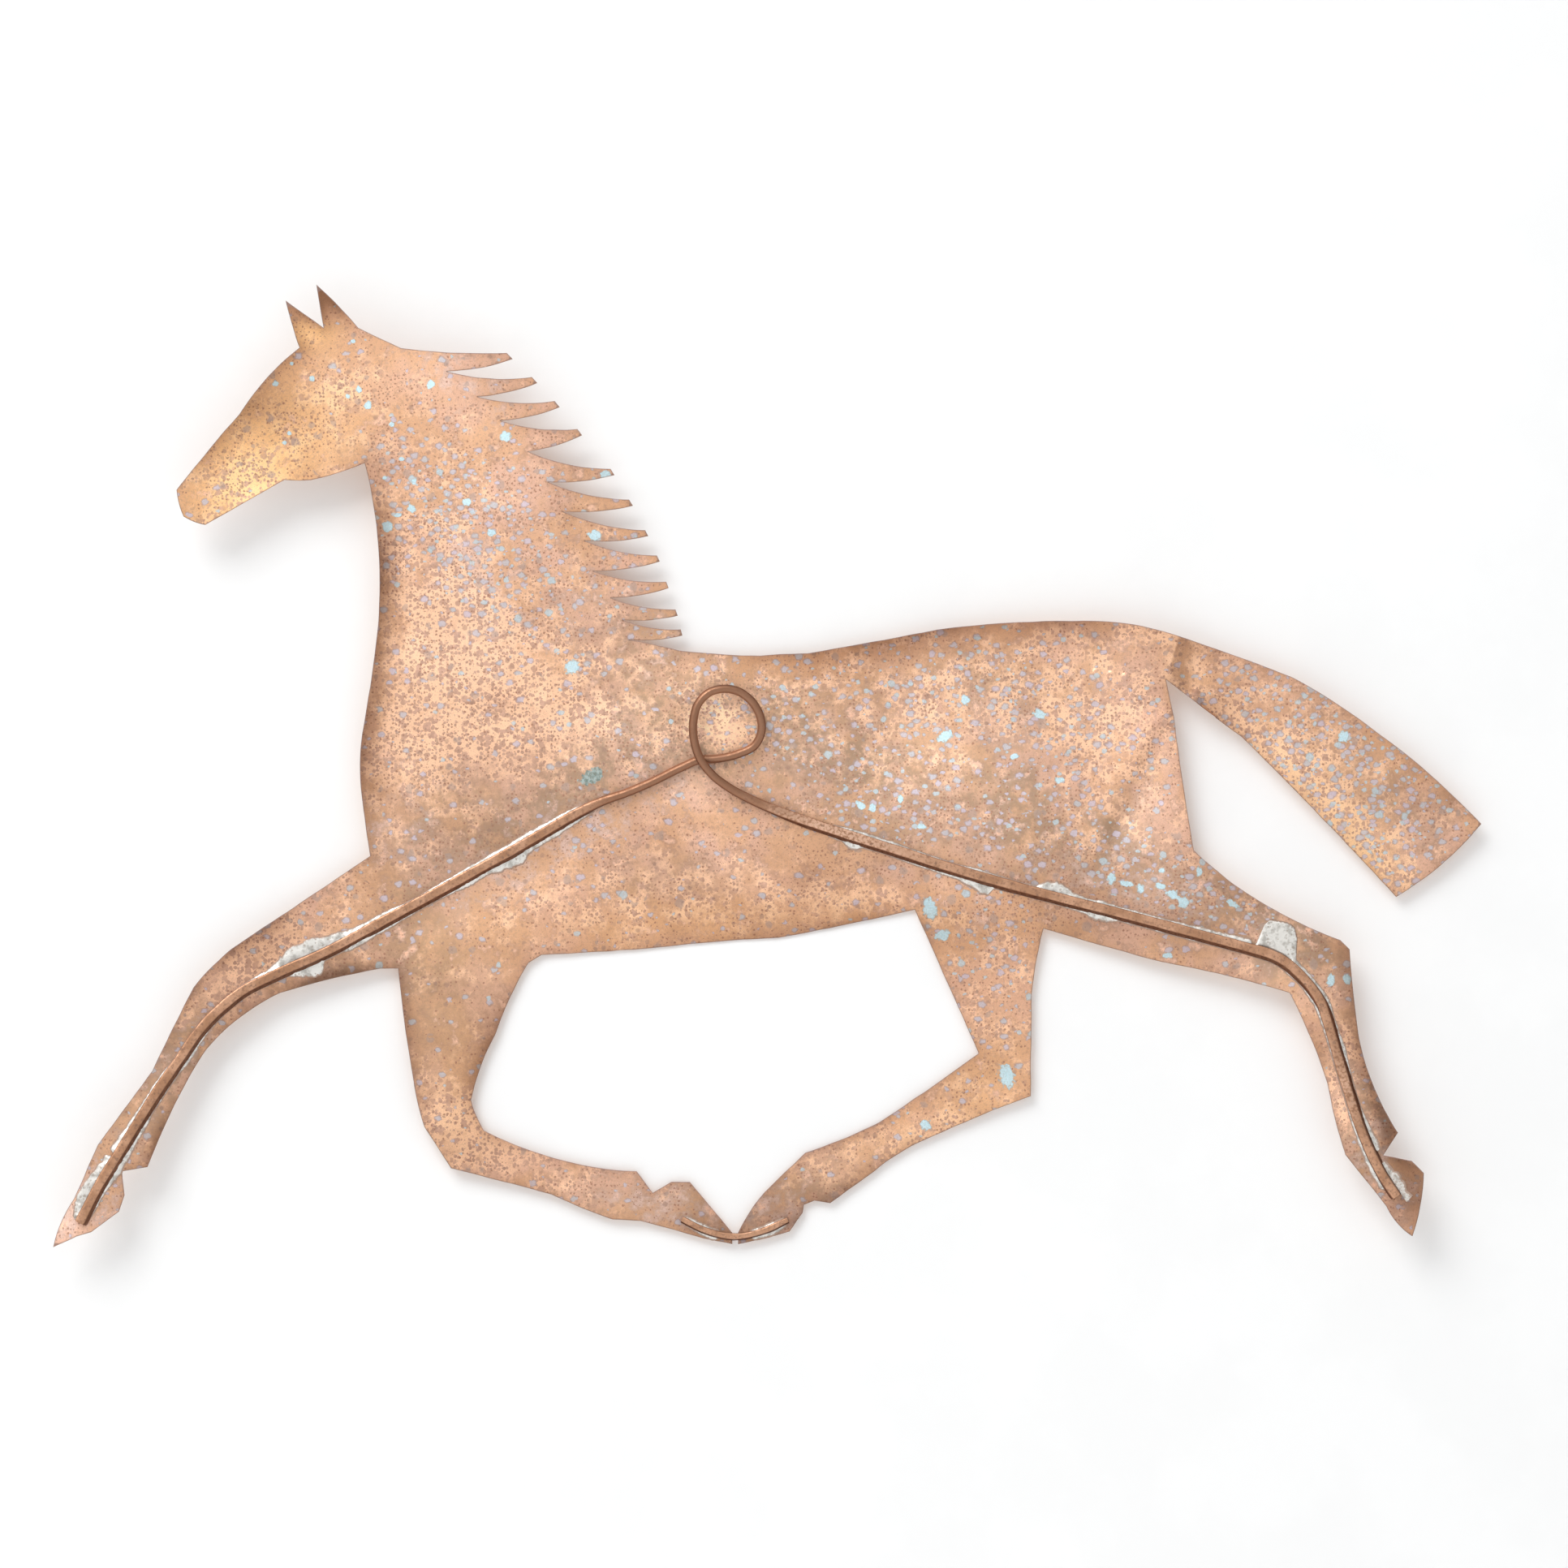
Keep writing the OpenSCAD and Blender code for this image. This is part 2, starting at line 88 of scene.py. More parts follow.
TUCKED_HIND = [
    (115, -101.5, 0), (114.5, -140, -0.3), (80.5, -154, -1.1), (56, -168, 0),
    (39, -180.5, 0), (33, -179.5, 0), (29, -181, 0), (28.5, -184, 0), (23.5, -191, 0.3),
    (4.2, -195.8, 0), (4.2, -191.5, 0.6), (14, -176.5, 0), (29.5, -161.5, -0.6),
    (57.5, -150, -0.3), (95, -124, 0), (71, -70, 0),
]
BELLY = [(67, -70.8, 0.3), (19.5, -80.5, -0.4), (-23.5, -84, 0.2), (-70, -87, 0), (-75, -90, -0.8)]
TUCKED_FORE = [
    (-87.5, -117, -0.9), (-96.5, -141.5, -0.5), (-91.5, -153, -1.2), (-57, -165.5, -0.6),
    (-34, -168.5, 0), (-28, -176.5, 0), (-21, -172.5, 0), (-14, -172.5, 0),
    (2, -191.5, 0), (2, -195.8, 0), (-9, -193.5, 0), (-32.5, -187, 0), (-43, -186.5, 0.4),
    (-66, -177, 0), (-104, -167, 0), (-114, -151.5, 0.5), (-118, -134.5, 0.4),
    (-124, -92, 0), (-130.5, -92, -0.6),
]
FORE_LEG = [
    (-168, -101, -1.9), (-195.5, -122, -0.5), (-208.5, -145.5, -0.2), (-217, -166, 0),
    (-226.5, -167.5, 0), (-225.5, -176.5, 0), (-227.5, -182.5, 0), (-237.5, -190, 0),
    (-243, -191.5, 0), (-251.5, -195.5, 1), (-244, -177.5, 0), (-235.5, -157.5, 0),
    (-215.5, -130, 0.2), (-200.5, -99, 0.5), (-186.5, -84.5, 0),
]
FRONT = [
    (-134.5, -49.5, 0.2), (-138, -23.5, 0.5), (-137.5, -3.5, -0.4), (-131.5, 37.5, -0.6),
    (-131.5, 69, -0.6), (-136.5, 98.5, 0.5), (-156.5, 92, 0.2), (-166.5, 92, 0),
    (-196, 75, 0.4), (-204, 78, 0.5), (-206.5, 88, 0.2), (-183, 116.5, 0.3),
    (-172.5, 130.5, 0.2), (-160.5, 141.5, 0.2),
]
STRAND_HOLLOW, STRAND_BELLY = 0.05, 0.04  # bows of a strand's edges, as shares of their length

# ---------------------------------------------------------------- rod and tie routes
# Each point is (x, z, gap to the sheet, share of the hammered section).
G = LOOP_GAP  # short, for the rows below
FORE_RUN = [
    (-241.3, -186.6, 0, 1), (-234.3, -172.5, 0, 1), (-226.9, -160.4, 0, 1),
    (-219.7, -148.4, 0, 1), (-212.1, -136.3, 0, 1), (-203.9, -124.2, 0, 1),
    (-199.9, -118.1, 0, 1), (-195, -112.1, 0, 1), (-188.8, -106, 0, 1),
    (-181.6, -100.3, 0, 1), (-169.8, -94.5, 0, 1), (-151.6, -86.3, 0, 1),
    (-127.3, -73.4, 0, 1), (-102.9, -60.1, 0, 1), (-78.5, -46.5, 0, 1),
    (-66.2, -39.4, 0, 1), (-56.4, -33.6, 0, 0.8), (-47.2, -29, 0.2 * G, 0.3),
    (-38, -25.7, 0.5 * G, 0), (-28.8, -21.8, 0.8 * G, 0),
]
LOOP_RUN = [
    (-16.5, -15.8, G, 0), (-10.1, -13.2, G, 0), (-5, -13, G, 0),
    (4.3, -11, G + 0.15 * CROSS, 0), (10.6, -7.7, G + 0.3 * CROSS, 0),
    (13.1, -1.5, G + 0.42 * CROSS, 0), (12.1, 4.2, G + 0.52 * CROSS, 0),
    (8.6, 9.5, G + 0.61 * CROSS, 0), (4.3, 12.5, G + 0.69 * CROSS, 0),
    (-1.2, 13.5, G + 0.77 * CROSS, 0), (-6.5, 12.2, G + 0.85 * CROSS, 0),
    (-10.6, 8.3, G + 0.92 * CROSS, 0), (-12.7, 1.2, G + CROSS, 0),
    (-12.4, -5.8, G + 1.05 * CROSS, 0), (-10.1, -12.9, G + 1.04 * CROSS, 0),
    (-5.5, -19, G + 0.85 * CROSS, 0), (0.9, -23.9, G + 0.5 * CROSS, 0.1),
]
HIND_RUN = [
    (9.8, -28.7, G, 0.3), (19.7, -33, 0.4 * G, 0.6), (31.9, -37.6, 0, 1),
    (50.4, -43.6, 0, 1), (62.6, -47.4, 0, 1), (74.9, -51.5, 0, 1), (93.3, -57.1, 0, 1),
    (123.8, -65.4, 0, 1), (154.3, -73.2, 0, 1), (184.7, -81.3, 0, 1),
    (196.9, -84.6, 0, 1), (203.5, -86.5, 0, 1), (209.3, -89.3, 0, 1),
    (214.7, -93.8, 0, 1), (220.2, -99.9, 0, 1), (224.1, -106, 0, 1), (226.2, -112, 0, 1),
    (229.7, -124.2, 0, 1), (233.2, -136.3, 0, 1), (236.9, -148.4, 0, 1),
    (241.6, -160.5, 0, 1), (247, -171.3, 0, 1), (250.6, -176.7, 0, 1),
]
TIE_RUN = [(-17, -186.5), (-8, -190.8), (3, -193), (13.5, -191), (23, -186.8)]


# ---------------------------------------------------------------- plain helpers
def smoothstep(a, b, x):
    t = np.clip((np.asarray(x, float) - a) / (b - a), 0, 1)
    return t * t * (3 - 2 * t)


def value_noise(x, z, size, seed):
    """Smooth value noise from -1 to 1 over a plane, with cells of the given size."""
    table = np.random.default_rng(seed).uniform(-1, 1, (64, 64))
    u, v = np.asarray(x, float) / size, np.asarray(z, float) / size
    i, j = np.floor(u).astype(int), np.floor(v).astype(int)
    fu, fv = u - i, v - j
    fu, fv = fu * fu * (3 - 2 * fu), fv * fv * (3 - 2 * fv)
    i0, i1, j0, j1 = i % 64, (i + 1) % 64, j % 64, (j + 1) % 64
    a = table[i0, j0] * (1 - fu) + table[i1, j0] * fu
    b = table[i0, j1] * (1 - fu) + table[i1, j1] * fu
    return a * (1 - fv) + b * fv


def layered_noise(x, z, size, seed, octaves=3):
    total, weight, out = 0.0, 1.0, 0.0
    for k in range(octaves):
        out = out + weight * value_noise(x, z, size / 2**k, seed + k)
        total += weight
        weight *= 0.5
    return out / total


def rotation(axis, angle):
    x, y, z = axis / np.linalg.norm(axis)
    c, s = math.cos(angle), math.sin(angle)
    return np.array([
        [c + x * x * (1 - c), x * y * (1 - c) - z * s, x * z * (1 - c) + y * s],
        [y * x * (1 - c) + z * s, c + y * y * (1 - c), y * z * (1 - c) - x * s],
        [z * x * (1 - c) - y * s, z * y * (1 - c) + x * s, c + z * z * (1 - c)],
    ])


# ---------------------------------------------------------------- the sheet's surface
FOLD_TOP, FOLD_BOTTOM = np.array(TAIL[0][:2]), np.array(TAIL[-1][:2])
FOLD_DIR = (FOLD_TOP - FOLD_BOTTOM) / np.linalg.norm(FOLD_TOP - FOLD_BOTTOM)


def ball_y(x, z, centre):
    return centre[1] + np.sqrt(DISH_R**2 - (x - centre[0]) ** 2 - (z - centre[2]) ** 2)


BODY_BALL = np.array([DISH_X, STAND_OFF - DISH_R, DISH_Z])


def make_tail_ball():
    middle = (FOLD_TOP + FOLD_BOTTOM) / 2
    hinge = np.array([FOLD_BOTTOM[0], ball_y(middle[0], middle[1], BODY_BALL), FOLD_BOTTOM[1]])
    axis = np.array([FOLD_TOP[0] - FOLD_BOTTOM[0], 0, FOLD_TOP[1] - FOLD_BOTTOM[1]])
    return hinge + rotation(axis, TAIL_FOLD) @ (BODY_BALL - hinge)


TAIL_BALL = make_tail_ball()


def past_fold(x, z):
    """Distance past the tail's fold, towards the tail's tip."""
    return (x - FOLD_BOTTOM[0]) * FOLD_DIR[1] - (z - FOLD_BOTTOM[1]) * FOLD_DIR[0]


def in_tail(x, z):
    return (past_fold(x, z) > 0) & (z > -70) & ((z > 12) | (x > 178)) & (z > 190 - x - 3)


def dish_y(x, z):
    """Plain surface of the sheet's back face, in the row's Y."""
    x, z = np.asarray(x, float), np.asarray(z, float)
    return np.where(in_tail(x, z), ball_y(x, z, TAIL_BALL), ball_y(x, z, BODY_BALL))


# ---------------------------------------------------------------- outline
def bowed(p, q, bow):
    """Points from p to just before q, along an arc that rises by bow over its chord."""
    p, q = np.array(p, float), np.array(q, float)
    chord = np.linalg.norm(q - p)
    along = (q - p) / chord
    out = np.array([-along[1], along[0]])
    n = max(1, math.ceil(chord / OUTLINE_STEP))
    t = np.arange(n) / n * chord
    rise = np.zeros(n)
    if abs(bow) >= 0.05:
        r = (chord * chord / 4 + bow * bow) / (2 * abs(bow))
        rise = math.copysign(1, bow) * (np.sqrt(r * r - (t - chord / 2) ** 2) - (r - abs(bow)))
    return p + np.outer(t, along) + np.outer(rise, out)


def strand_corners():
    """Corners of the mane: each strand's tip, the corner under it, and the notch."""
    out = []
    for i, (tx, tz, nx, nz) in enumerate(MANE):
        last = i == len(MANE) - 1
        under = (tx + 2.2 - 0.16 * i, tz - 2.3)
        nxt = (nx, nz) if last else MANE[i + 1][:2]
        out += [
            (tx, tz, 0),
            (*under, STRAND_BELLY * math.dist(under, (nx, nz))),
            (nx, nz, 0.3 if last else -STRAND_HOLLOW * math.dist(nxt, (nx, nz))),
        ]
    return out


def sheet_outline():
    corners = (
        EARS + strand_corners() + BACK + TAIL + HIND_LEG + TUCKED_HIND + BELLY
        + TUCKED_FORE + FORE_LEG + FRONT
    )
    parts = []
    for i, (x, z, bow) in enumerate(corners):
        qx, qz, _ = corners[(i + 1) % len(corners)]
        parts.append(bowed((x, z), (qx, qz), bow))
    ring = np.vstack(parts)
    # Hand-cut edges waver a little
    ring[:, 0] += 0.10 * value_noise(ring[:, 0], ring[:, 1], 5.0, 11)
    ring[:, 1] += 0.10 * value_noise(ring[:, 0], ring[:, 1], 5.0, 12)
    return ring


# ---------------------------------------------------------------- routes
def smooth_route(points, step):
    pts = np.array(points, float)
    seg = np.linalg.norm(np.diff(pts[:, :2], axis=0), axis=1)
    n = len(pts)
    slopes = np.zeros_like(pts)
    for i in range(n):
        if i == 0:
            slopes[i] = (pts[1] - pts[0]) / seg[0]
        elif i == n - 1:
            slopes[i] = (pts[i] - pts[i - 1]) / seg[-1]
        else:
            a, b = seg[i - 1], seg[i]
            slopes[i] = ((pts[i] - pts[i - 1]) / a * b + (pts[i + 1] - pts[i]) / b * a) / (a + b)
    out = []
    for i in range(n - 1):
        k = max(1, round(seg[i] / step))
        t = (np.arange(k) / k)[:, None]
        p, q = pts[i], pts[i + 1]
        m0, m1 = slopes[i] * seg[i], slopes[i + 1] * seg[i]
        out.append(
            p * (2 * t**3 - 3 * t * t + 1) + m0 * (t**3 - 2 * t * t + t)
            + q * (3 * t * t - 2 * t**3) + m1 * (t**3 - t * t)
        )
    return np.vstack(out + [pts[-1:]])


def left_normals(route):
    d = np.gradient(route[:, :2], axis=0)
    d /= np.linalg.norm(d, axis=1)[:, None]
    return np.stack([-d[:, 1], d[:, 0]], axis=1)


def resample(route, step):
    seg = np.linalg.norm(np.diff(route[:, :2], axis=0), axis=1)
    s = np.concatenate([[0], np.cumsum(seg)])
    n = max(2, round(s[-1] / step))
    t = np.linspace(0, s[-1], n + 1)
    return np.stack([np.interp(t, s, route[:, c]) for c in range(route.shape[1])], axis=1), t


ROD, ROD_S = resample(smooth_route(FORE_RUN + LOOP_RUN + HIND_RUN, 1.0), 0.8)
TIE, TIE_S = resample(smooth_route(TIE_RUN, 0.7), 0.6)
AFTER_LOOP = int(np.argmax((ROD[:, 0] > 15) & (np.arange(len(ROD)) > len(ROD) // 2)))


def tree_of(points):
    tree = KDTree(len(points))
    for i, (x, z) in enumerate(points):
        tree.insert((x, z, 0), i)
    tree.balance()
    return tree


def nearest(tree, x, z, with_index=False):
    found = [tree.find((a, b, 0)) for a, b in zip(x, z)]
    away = np.array([f[2] for f in found])
    return (away, np.array([f[1] for f in found])) if with_index else away


# ---------------------------------------------------------------- relief of the sheet
# Where the edge is turned up towards the back: x, z, reach, height
CURLS = [
    (-133, 50, 40, 1.6), (-136, 0, 30, 1.5), (-134, -35, 16, 0.9), (-190, 108, 22, 1.3),
    (-165, 136, 12, 0.8), (100, 37, 60, 1.6), (40, 28, 30, 0.8), (150, 38, 20, 0.9),
    (228, 12, 40, 0.6), (-120, -120, 24, 0.7), (-190, -95, 14, 0.3),
]
# Broad swellings towards the back (+) and hollows (-): x, z, size x, size z, turn, height
SWELLS = [
    (-60, -2, 34, 22, 20, 1.1), (-150, 100, 20, 12, -40, -0.7), (-178, 92, 12, 8, 40, -0.9),
    (-120, 70, 18, 24, 0, -0.5), (60, -10, 30, 26, 0, -0.8), (118, 10, 24, 18, 0, -0.5),
    (20, -62, 60, 10, 3, -0.5), (0, 4, 24, 14, 0, 0.3), (-100, -85, 14, 18, 0, 0.5),
]
PUNCH = [(139.5 + 5.5 * i, 19.5 - 0.8 * i) for i in range(3)]
PUNCH_R, PUNCH_RISE = 1.9, 0.5


def turned(x, z, cx, cz, sx, sz, angle):
    """Squared distance from (cx, cz), measured in the half sizes of a turned ellipse."""
    a = math.radians(angle)
    u = (x - cx) * math.cos(a) + (z - cz) * math.sin(a)
    v = -(x - cx) * math.sin(a) + (z - cz) * math.cos(a)
    return (u / sx) ** 2 + (v / sz) ** 2


def relief(x, z, edge, rod):
    """Height of the beaten surface over the plain dish, towards -Y."""
    curl = np.zeros_like(x)
    for cx, cz, reach, height in CURLS:
        curl += height * np.exp(-(((x - cx) ** 2 + (z - cz) ** 2) / reach**2))
    width = np.where(np.abs(curl) > 0.8, 9.0, 7.0)
    h = (curl + 0.05) * np.clip(1 - edge / width, 0, 1) ** 2
    for *place, height in SWELLS:
        h += height * np.exp(-0.5 * turned(x, z, *place))
    h += 0.28 * layered_noise(x, z, 34, 21, 2) + 0.07 * layered_noise(x, z, 9, 25, 2)
    # A soft buckle runs down from the root of the tail over the haunch
    t = ((z + 48) / 54.5).clip(0, 1)
    off = x - (139.7 + 27 * t**1.25)
    along = smoothstep(-56, -44, z) * (1 - smoothstep(0, 10, z))
    h += along * (0.9 * np.exp(-((off / np.where(off < 0, 7, 3)) ** 2)))
    h *= smoothstep(2.6, 9.5, rod)
    u = past_fold(x, z)
    h -= np.where(in_tail(x, z), 1.5 * smoothstep(0, 9, u) * (1 - smoothstep(12, 70, u)), 0)
    for px, pz in PUNCH:
        r2 = ((x - px) ** 2 + (z - pz) ** 2) / PUNCH_R**2
        h = np.where(r2 < 1, h + PUNCH_RISE * np.sqrt(np.clip(1 - r2, 0, 1)), h)
    return h


# ---------------------------------------------------------------- mesh from arrays
def sharpen(mesh, flags):
    """Shade the flagged faces flat, with a crisp edge all round each of them."""
    flags = np.asarray(flags, bool)
    loop_edges = np.zeros(len(mesh.loops), np.int32)
    mesh.loops.foreach_get("edge_index", loop_edges)
    sizes = np.zeros(len(mesh.polygons), np.int32)
    mesh.polygons.foreach_get("loop_total", sizes)
    edges = np.zeros(len(mesh.edges), bool)
    edges[loop_edges[np.repeat(flags, sizes)]] = True
    for key, domain, data in (("sharp_face", "FACE", flags), ("sharp_edge", "EDGE", edges)):
        attr = mesh.attributes.get(key) or mesh.attributes.new(key, "BOOLEAN", domain)
        attr.data.foreach_set("value", data)


def make_object(name, verts, faces, materials, values, face_slots=None, sharp=None):
    """A smooth object on the root body, with one number per corner for each key of values."""
    mesh = bpy.data.meshes.new(name)
    mesh.from_pydata((np.asarray(verts) * MM).tolist(), [], faces)
    for m in materials:
        mesh.materials.append(m)
    if face_slots is not None:
        mesh.polygons.foreach_set("material_index", np.asarray(face_slots, np.int32))
    mesh.polygons.foreach_set("use_smooth", np.full(len(mesh.polygons), True))
    for key, data in values.items():
        attr = mesh.attributes.new(key, "FLOAT", "POINT")
        attr.data.foreach_set("value", np.asarray(data, np.float32))
    if sharp is not None:
        sharpen(mesh, sharp)
    mesh.validate()
    mesh.update()
    obj = bpy.data.objects.new(name, mesh)
    bpy.context.scene.collection.objects.link(obj)
    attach(obj, "root")
    return obj


# ---------------------------------------------------------------- node helpers
class Nodes:
    """A node tree, with short calls for the nodes that are used often."""

    def __init__(self, tree):
        self.tree = tree
        self.tree.nodes.clear()

    def node(self, kind, inputs=None, **props):
        n = self.tree.nodes.new(kind)
        for k, v in props.items():
            setattr(n, k, v)
        for k, v in (inputs or {}).items():
            self.feed(n.inputs[k], v)
        return n

    def feed(self, socket, value):
        if isinstance(value, bpy.types.NodeSocket):
            self.tree.links.new(value, socket)
        elif isinstance(value, tuple) and len(value) == 3 and socket.type == "RGBA":
            socket.default_value = (*value, 1.0)
        else:
            socket.default_value = value

    def math(self, op, a, b=0.0, c=0.0):
        return self.node("ShaderNodeMath", {0: a, 1: b, 2: c}, operation=op).outputs[0]

    def vector_math(self, op, a, b):
        return self.node("ShaderNodeVectorMath", {0: a, 1: b}, operation=op).outputs["Vector"]

    def mix(self, fac, a, b, blend="MIX"):
        """Mix two colours."""
        props = {"data_type": "RGBA", "blend_type": blend, "clamp_factor": True}
        return self.node("ShaderNodeMix", {0: fac, 6: a, 7: b}, **props).outputs[2]

    def blend(self, fac, a, b):
        """Mix two numbers."""
        props = {"data_type": "FLOAT", "clamp_factor": True}
        return self.node("ShaderNodeMix", {0: fac, 2: a, 3: b}, **props).outputs[0]

    def step(self, x, lo, hi, to_lo=0.0, to_hi=1.0):
        inputs = dict(enumerate((x, lo, hi, to_lo, to_hi)))
        return self.node("ShaderNodeMapRange", inputs, interpolation_type="SMOOTHSTEP").outputs[0]

    def value(self, name):
        """A mesh attribute."""
        return self.node("ShaderNodeAttribute", attribute_name=name).outputs["Fac"]

    def noise(self, vector, size, detail=3.0, rough=0.55, dim="3D"):
        inputs = {"Vector": vector, "Scale": 1.0 / size, "Detail": detail, "Roughness": rough}
        return self.node("ShaderNodeTexNoise", inputs, noise_dimensions=dim).outputs["Fac"]

    def cells(self, vector, size):
        """Voronoi cells: distance from a cell's centre, and the cell's random numbers."""
        inputs = {"Vector": vector, "Scale": 1.0 / size}
        vor = self.node("ShaderNodeTexVoronoi", inputs, voronoi_dimensions="2D")
        random = self.node("ShaderNodeSeparateColor", {0: vor.outputs["Color"]})
        return vor.outputs["Distance"], random.outputs

    def place(self):
        """Row coordinates in millimetres, and the same turned flat: (x, z, 0)."""
        co = self.node("ShaderNodeTexCoord").outputs["Object"]
        mm = self.vector_math("MULTIPLY", co, (1 / MM, 1 / MM, 1 / MM))
        split = self.node("ShaderNodeSeparateXYZ", {0: mm})
        flat = self.node("ShaderNodeCombineXYZ", {0: split.outputs[0], 1: split.outputs[2]})
        return mm, flat.outputs[0]

    def shifted(self, vector, amount, size, seed):
        """The coordinates pushed about by noise, so that round shapes turn irregular."""
        moved = self.vector_math("ADD", vector, (seed, seed * 1.7, 0.0))
        inputs = {"Vector": moved, "Scale": 1.0 / size, "Detail": 2.0}
        colour = self.node("ShaderNodeTexNoise", inputs, noise_dimensions="2D").outputs["Color"]
        off = self.vector_math("SUBTRACT", colour, (0.5, 0.5, 0.5))
        push = self.node("ShaderNodeVectorMath", {0: off, "Scale": 2 * amount}, operation="SCALE")
        return self.vector_math("ADD", vector, push.outputs[0])

    def droplets(self, vector, cell, r_lo, r_hi, density, soft=0.12, power=2.0):
        """Round spots, one per cell at most: mask, place from centre to rim, random value."""
        distance, random = self.cells(vector, cell)
        radius = self.math("POWER", random[0], power)
        radius = self.math("MULTIPLY_ADD", radius, (r_hi - r_lo) / cell, r_lo / cell)
        share = self.math("DIVIDE", distance, radius)
        mask = self.step(share, 1.0 - soft, 1.0 + soft, 1.0, 0.0)
        there = self.math("LESS_THAN", random[1], density)
        return self.math("MULTIPLY", mask, there), share, random[2]


class Shader(Nodes):
    """A material in the making."""

    def __init__(self, name):
        self.mat = bpy.data.materials.new(name)
        self.mat.use_nodes = True
        super().__init__(self.mat.node_tree)

    def output(self, shader):
        self.node("ShaderNodeOutputMaterial", {0: shader})
        return self.mat

    def finish(self, color, roughness, metallic, height, strength, distance):
        bump = self.node(
            "ShaderNodeBump", {"Strength": strength, "Distance": distance, "Height": height})
        bsdf = self.node("ShaderNodeBsdfPrincipled", {
            "Base Color": color, "Roughness": roughness, "Metallic": metallic,
            "Normal": bump.outputs[0],
        })
        return self.output(bsdf.outputs[0])


# Linear colours, tuned against the photo's brightness and hue
COPPER_TAN = (0.720, 0.405, 0.226)
COPPER_PINK = (0.750, 0.440, 0.298)
COPPER_BROWN = (0.440, 0.246, 0.150)
COPPER_OLIVE = (0.335, 0.220, 0.135)
COPPER_GOLD_SHEEN = (0.900, 0.512, 0.226)
COPPER_ORANGE = (0.670, 0.355, 0.180)
COPPER_WORN = (0.730, 0.510, 0.410)
COPPER_BARE = (0.960, 0.560, 0.350)
NET_BRIGHT = (0.980, 0.600, 0.370)
NET_GOLD_SHEEN = (0.980, 0.620, 0.290)
CELL_TAN = (0.640, 0.385, 0.268)
CELL_BROWN = (0.460, 0.265, 0.180)
PIT_BROWN = (0.350, 0.165, 0.100)
SPOT_BROWN = (0.300, 0.180, 0.126)
SPOT_GREY = (0.360, 0.275, 0.230)
HAIR_BROWN = (0.400, 0.250, 0.180)
# Rim line colours: painted shade and painted highlight
RIM_PAINTED_SHADE = (0.220, 0.135, 0.100)
RIM_PAINTED_HIGHLIGHT = (0.330, 0.225, 0.205)
LAVENDER = (0.530, 0.450, 0.490)
LAVENDER_GREY = (0.460, 0.465, 0.460)
LAVENDER_RIM = (0.340, 0.240, 0.205)
CRUST_RIM = (0.310, 0.290, 0.230)

# Larger patches of verdigris: x, z, half width, half height, turn
BLOBS = [
    (105.5, -132.5, 3, 4.5, 25), (75, -151, 2, 2, 20), (76.5, -69.5, 2.5, 4.5, 15),
    (81.5, -79.5, 3, 2, 20), (-83.5, 108.5, 2, 2, 0), (-135, 120, 1.5, 1.5, 0),
    (-169.5, 128, 1, 1, 0), (-111.5, 128, 1.5, 1.5, 0), (-46, 94.5, 2, 1.5, 20),
    (-50, 71.5, 2.5, 2, 0), (-58.5, 22, 3, 2.5, 30), (-119, 81.5, 1.5, 1.5, 0),
    (-128, 74.5, 2, 2, 0), (-98, 84, 1.5, 1.5, 0), (-89, 72.5, 1.5, 1.5, 0),
    (232.5, -4.5, 2, 2, 0), (233, -96, 1.5, 2, 0), (145, -58, 1.5, 2, 0), (151, -60, 2.5, 1, -10),
    (156, -62, 1.5, 1.5, 0), (163.5, -61, 2.5, 1, -15), (168, -64, 2.5, 1.5, -35),
    (172, -67, 2, 2, 0), (190.5, -67.5, 3, 1, -35), (164, -55, 1, 1, 0), (178, -55.5, 1, 2, 10),
    (227, -96, 1.5, 2, 0), (166, -87, 2, 1, 0), (55, -31.5, 1.5, 1.5, 0), (65.5, -28, 1, 1.5, 0),
    (73.5, -38.5, 1.5, 1, -20), (50.5, -30.5, 2.5, 1, -40), (118, 4, 2.5, 1.5, -20),
    (90, 9.5, 1.5, 2, 0), (82.5, -4.5, 3, 2, 25), (125.5, -21, 2, 1, 0), (108.5, -12, 1.5, 1, 0),
    (-135, 22.5, 1, 2, 0), (-38.5, 90, 1, 1, 0), (-156, 130, 1, 0.9, 0),
    (-138.5, 126, 0.9, 1.3, 20), (-126, 113, 1, 0.8, 0), (-142.5, 123.5, 0.9, 0.7, -20),
    (-163.5, 135.5, 0.7, 0.7, 0), (-166.5, 106, 1, 0.6, 0), (-164.5, 109.5, 0.7, 0.7, 0),
    (-140.5, 144, 0.8, 0.7, 0), (-124, 79, 1.2, 0.7, 10), (-122.5, 100, 0.9, 0.7, 0),
    (-118, 91.5, 0.9, 1, 0), (-129, 93, 0.8, 0.6, 0),
]
TEAL = (-51, -19.5, 5, 2.5, 28)
BLOB_SPREAD = 0.15  # added to each half size, for the noise eats a little of the rim


def blob_field(x, z, blobs):
    """Smallest elliptical distance to any of the patches, 1 at the rim, held at 3."""
    best = np.full_like(x, 3.0)
    for cx, cz, half_w, half_h, turn in blobs:
        away = turned(x, z, cx, cz, half_w + BLOB_SPREAD, half_h + BLOB_SPREAD, turn)
        best = np.minimum(best, np.sqrt(away))
    return best


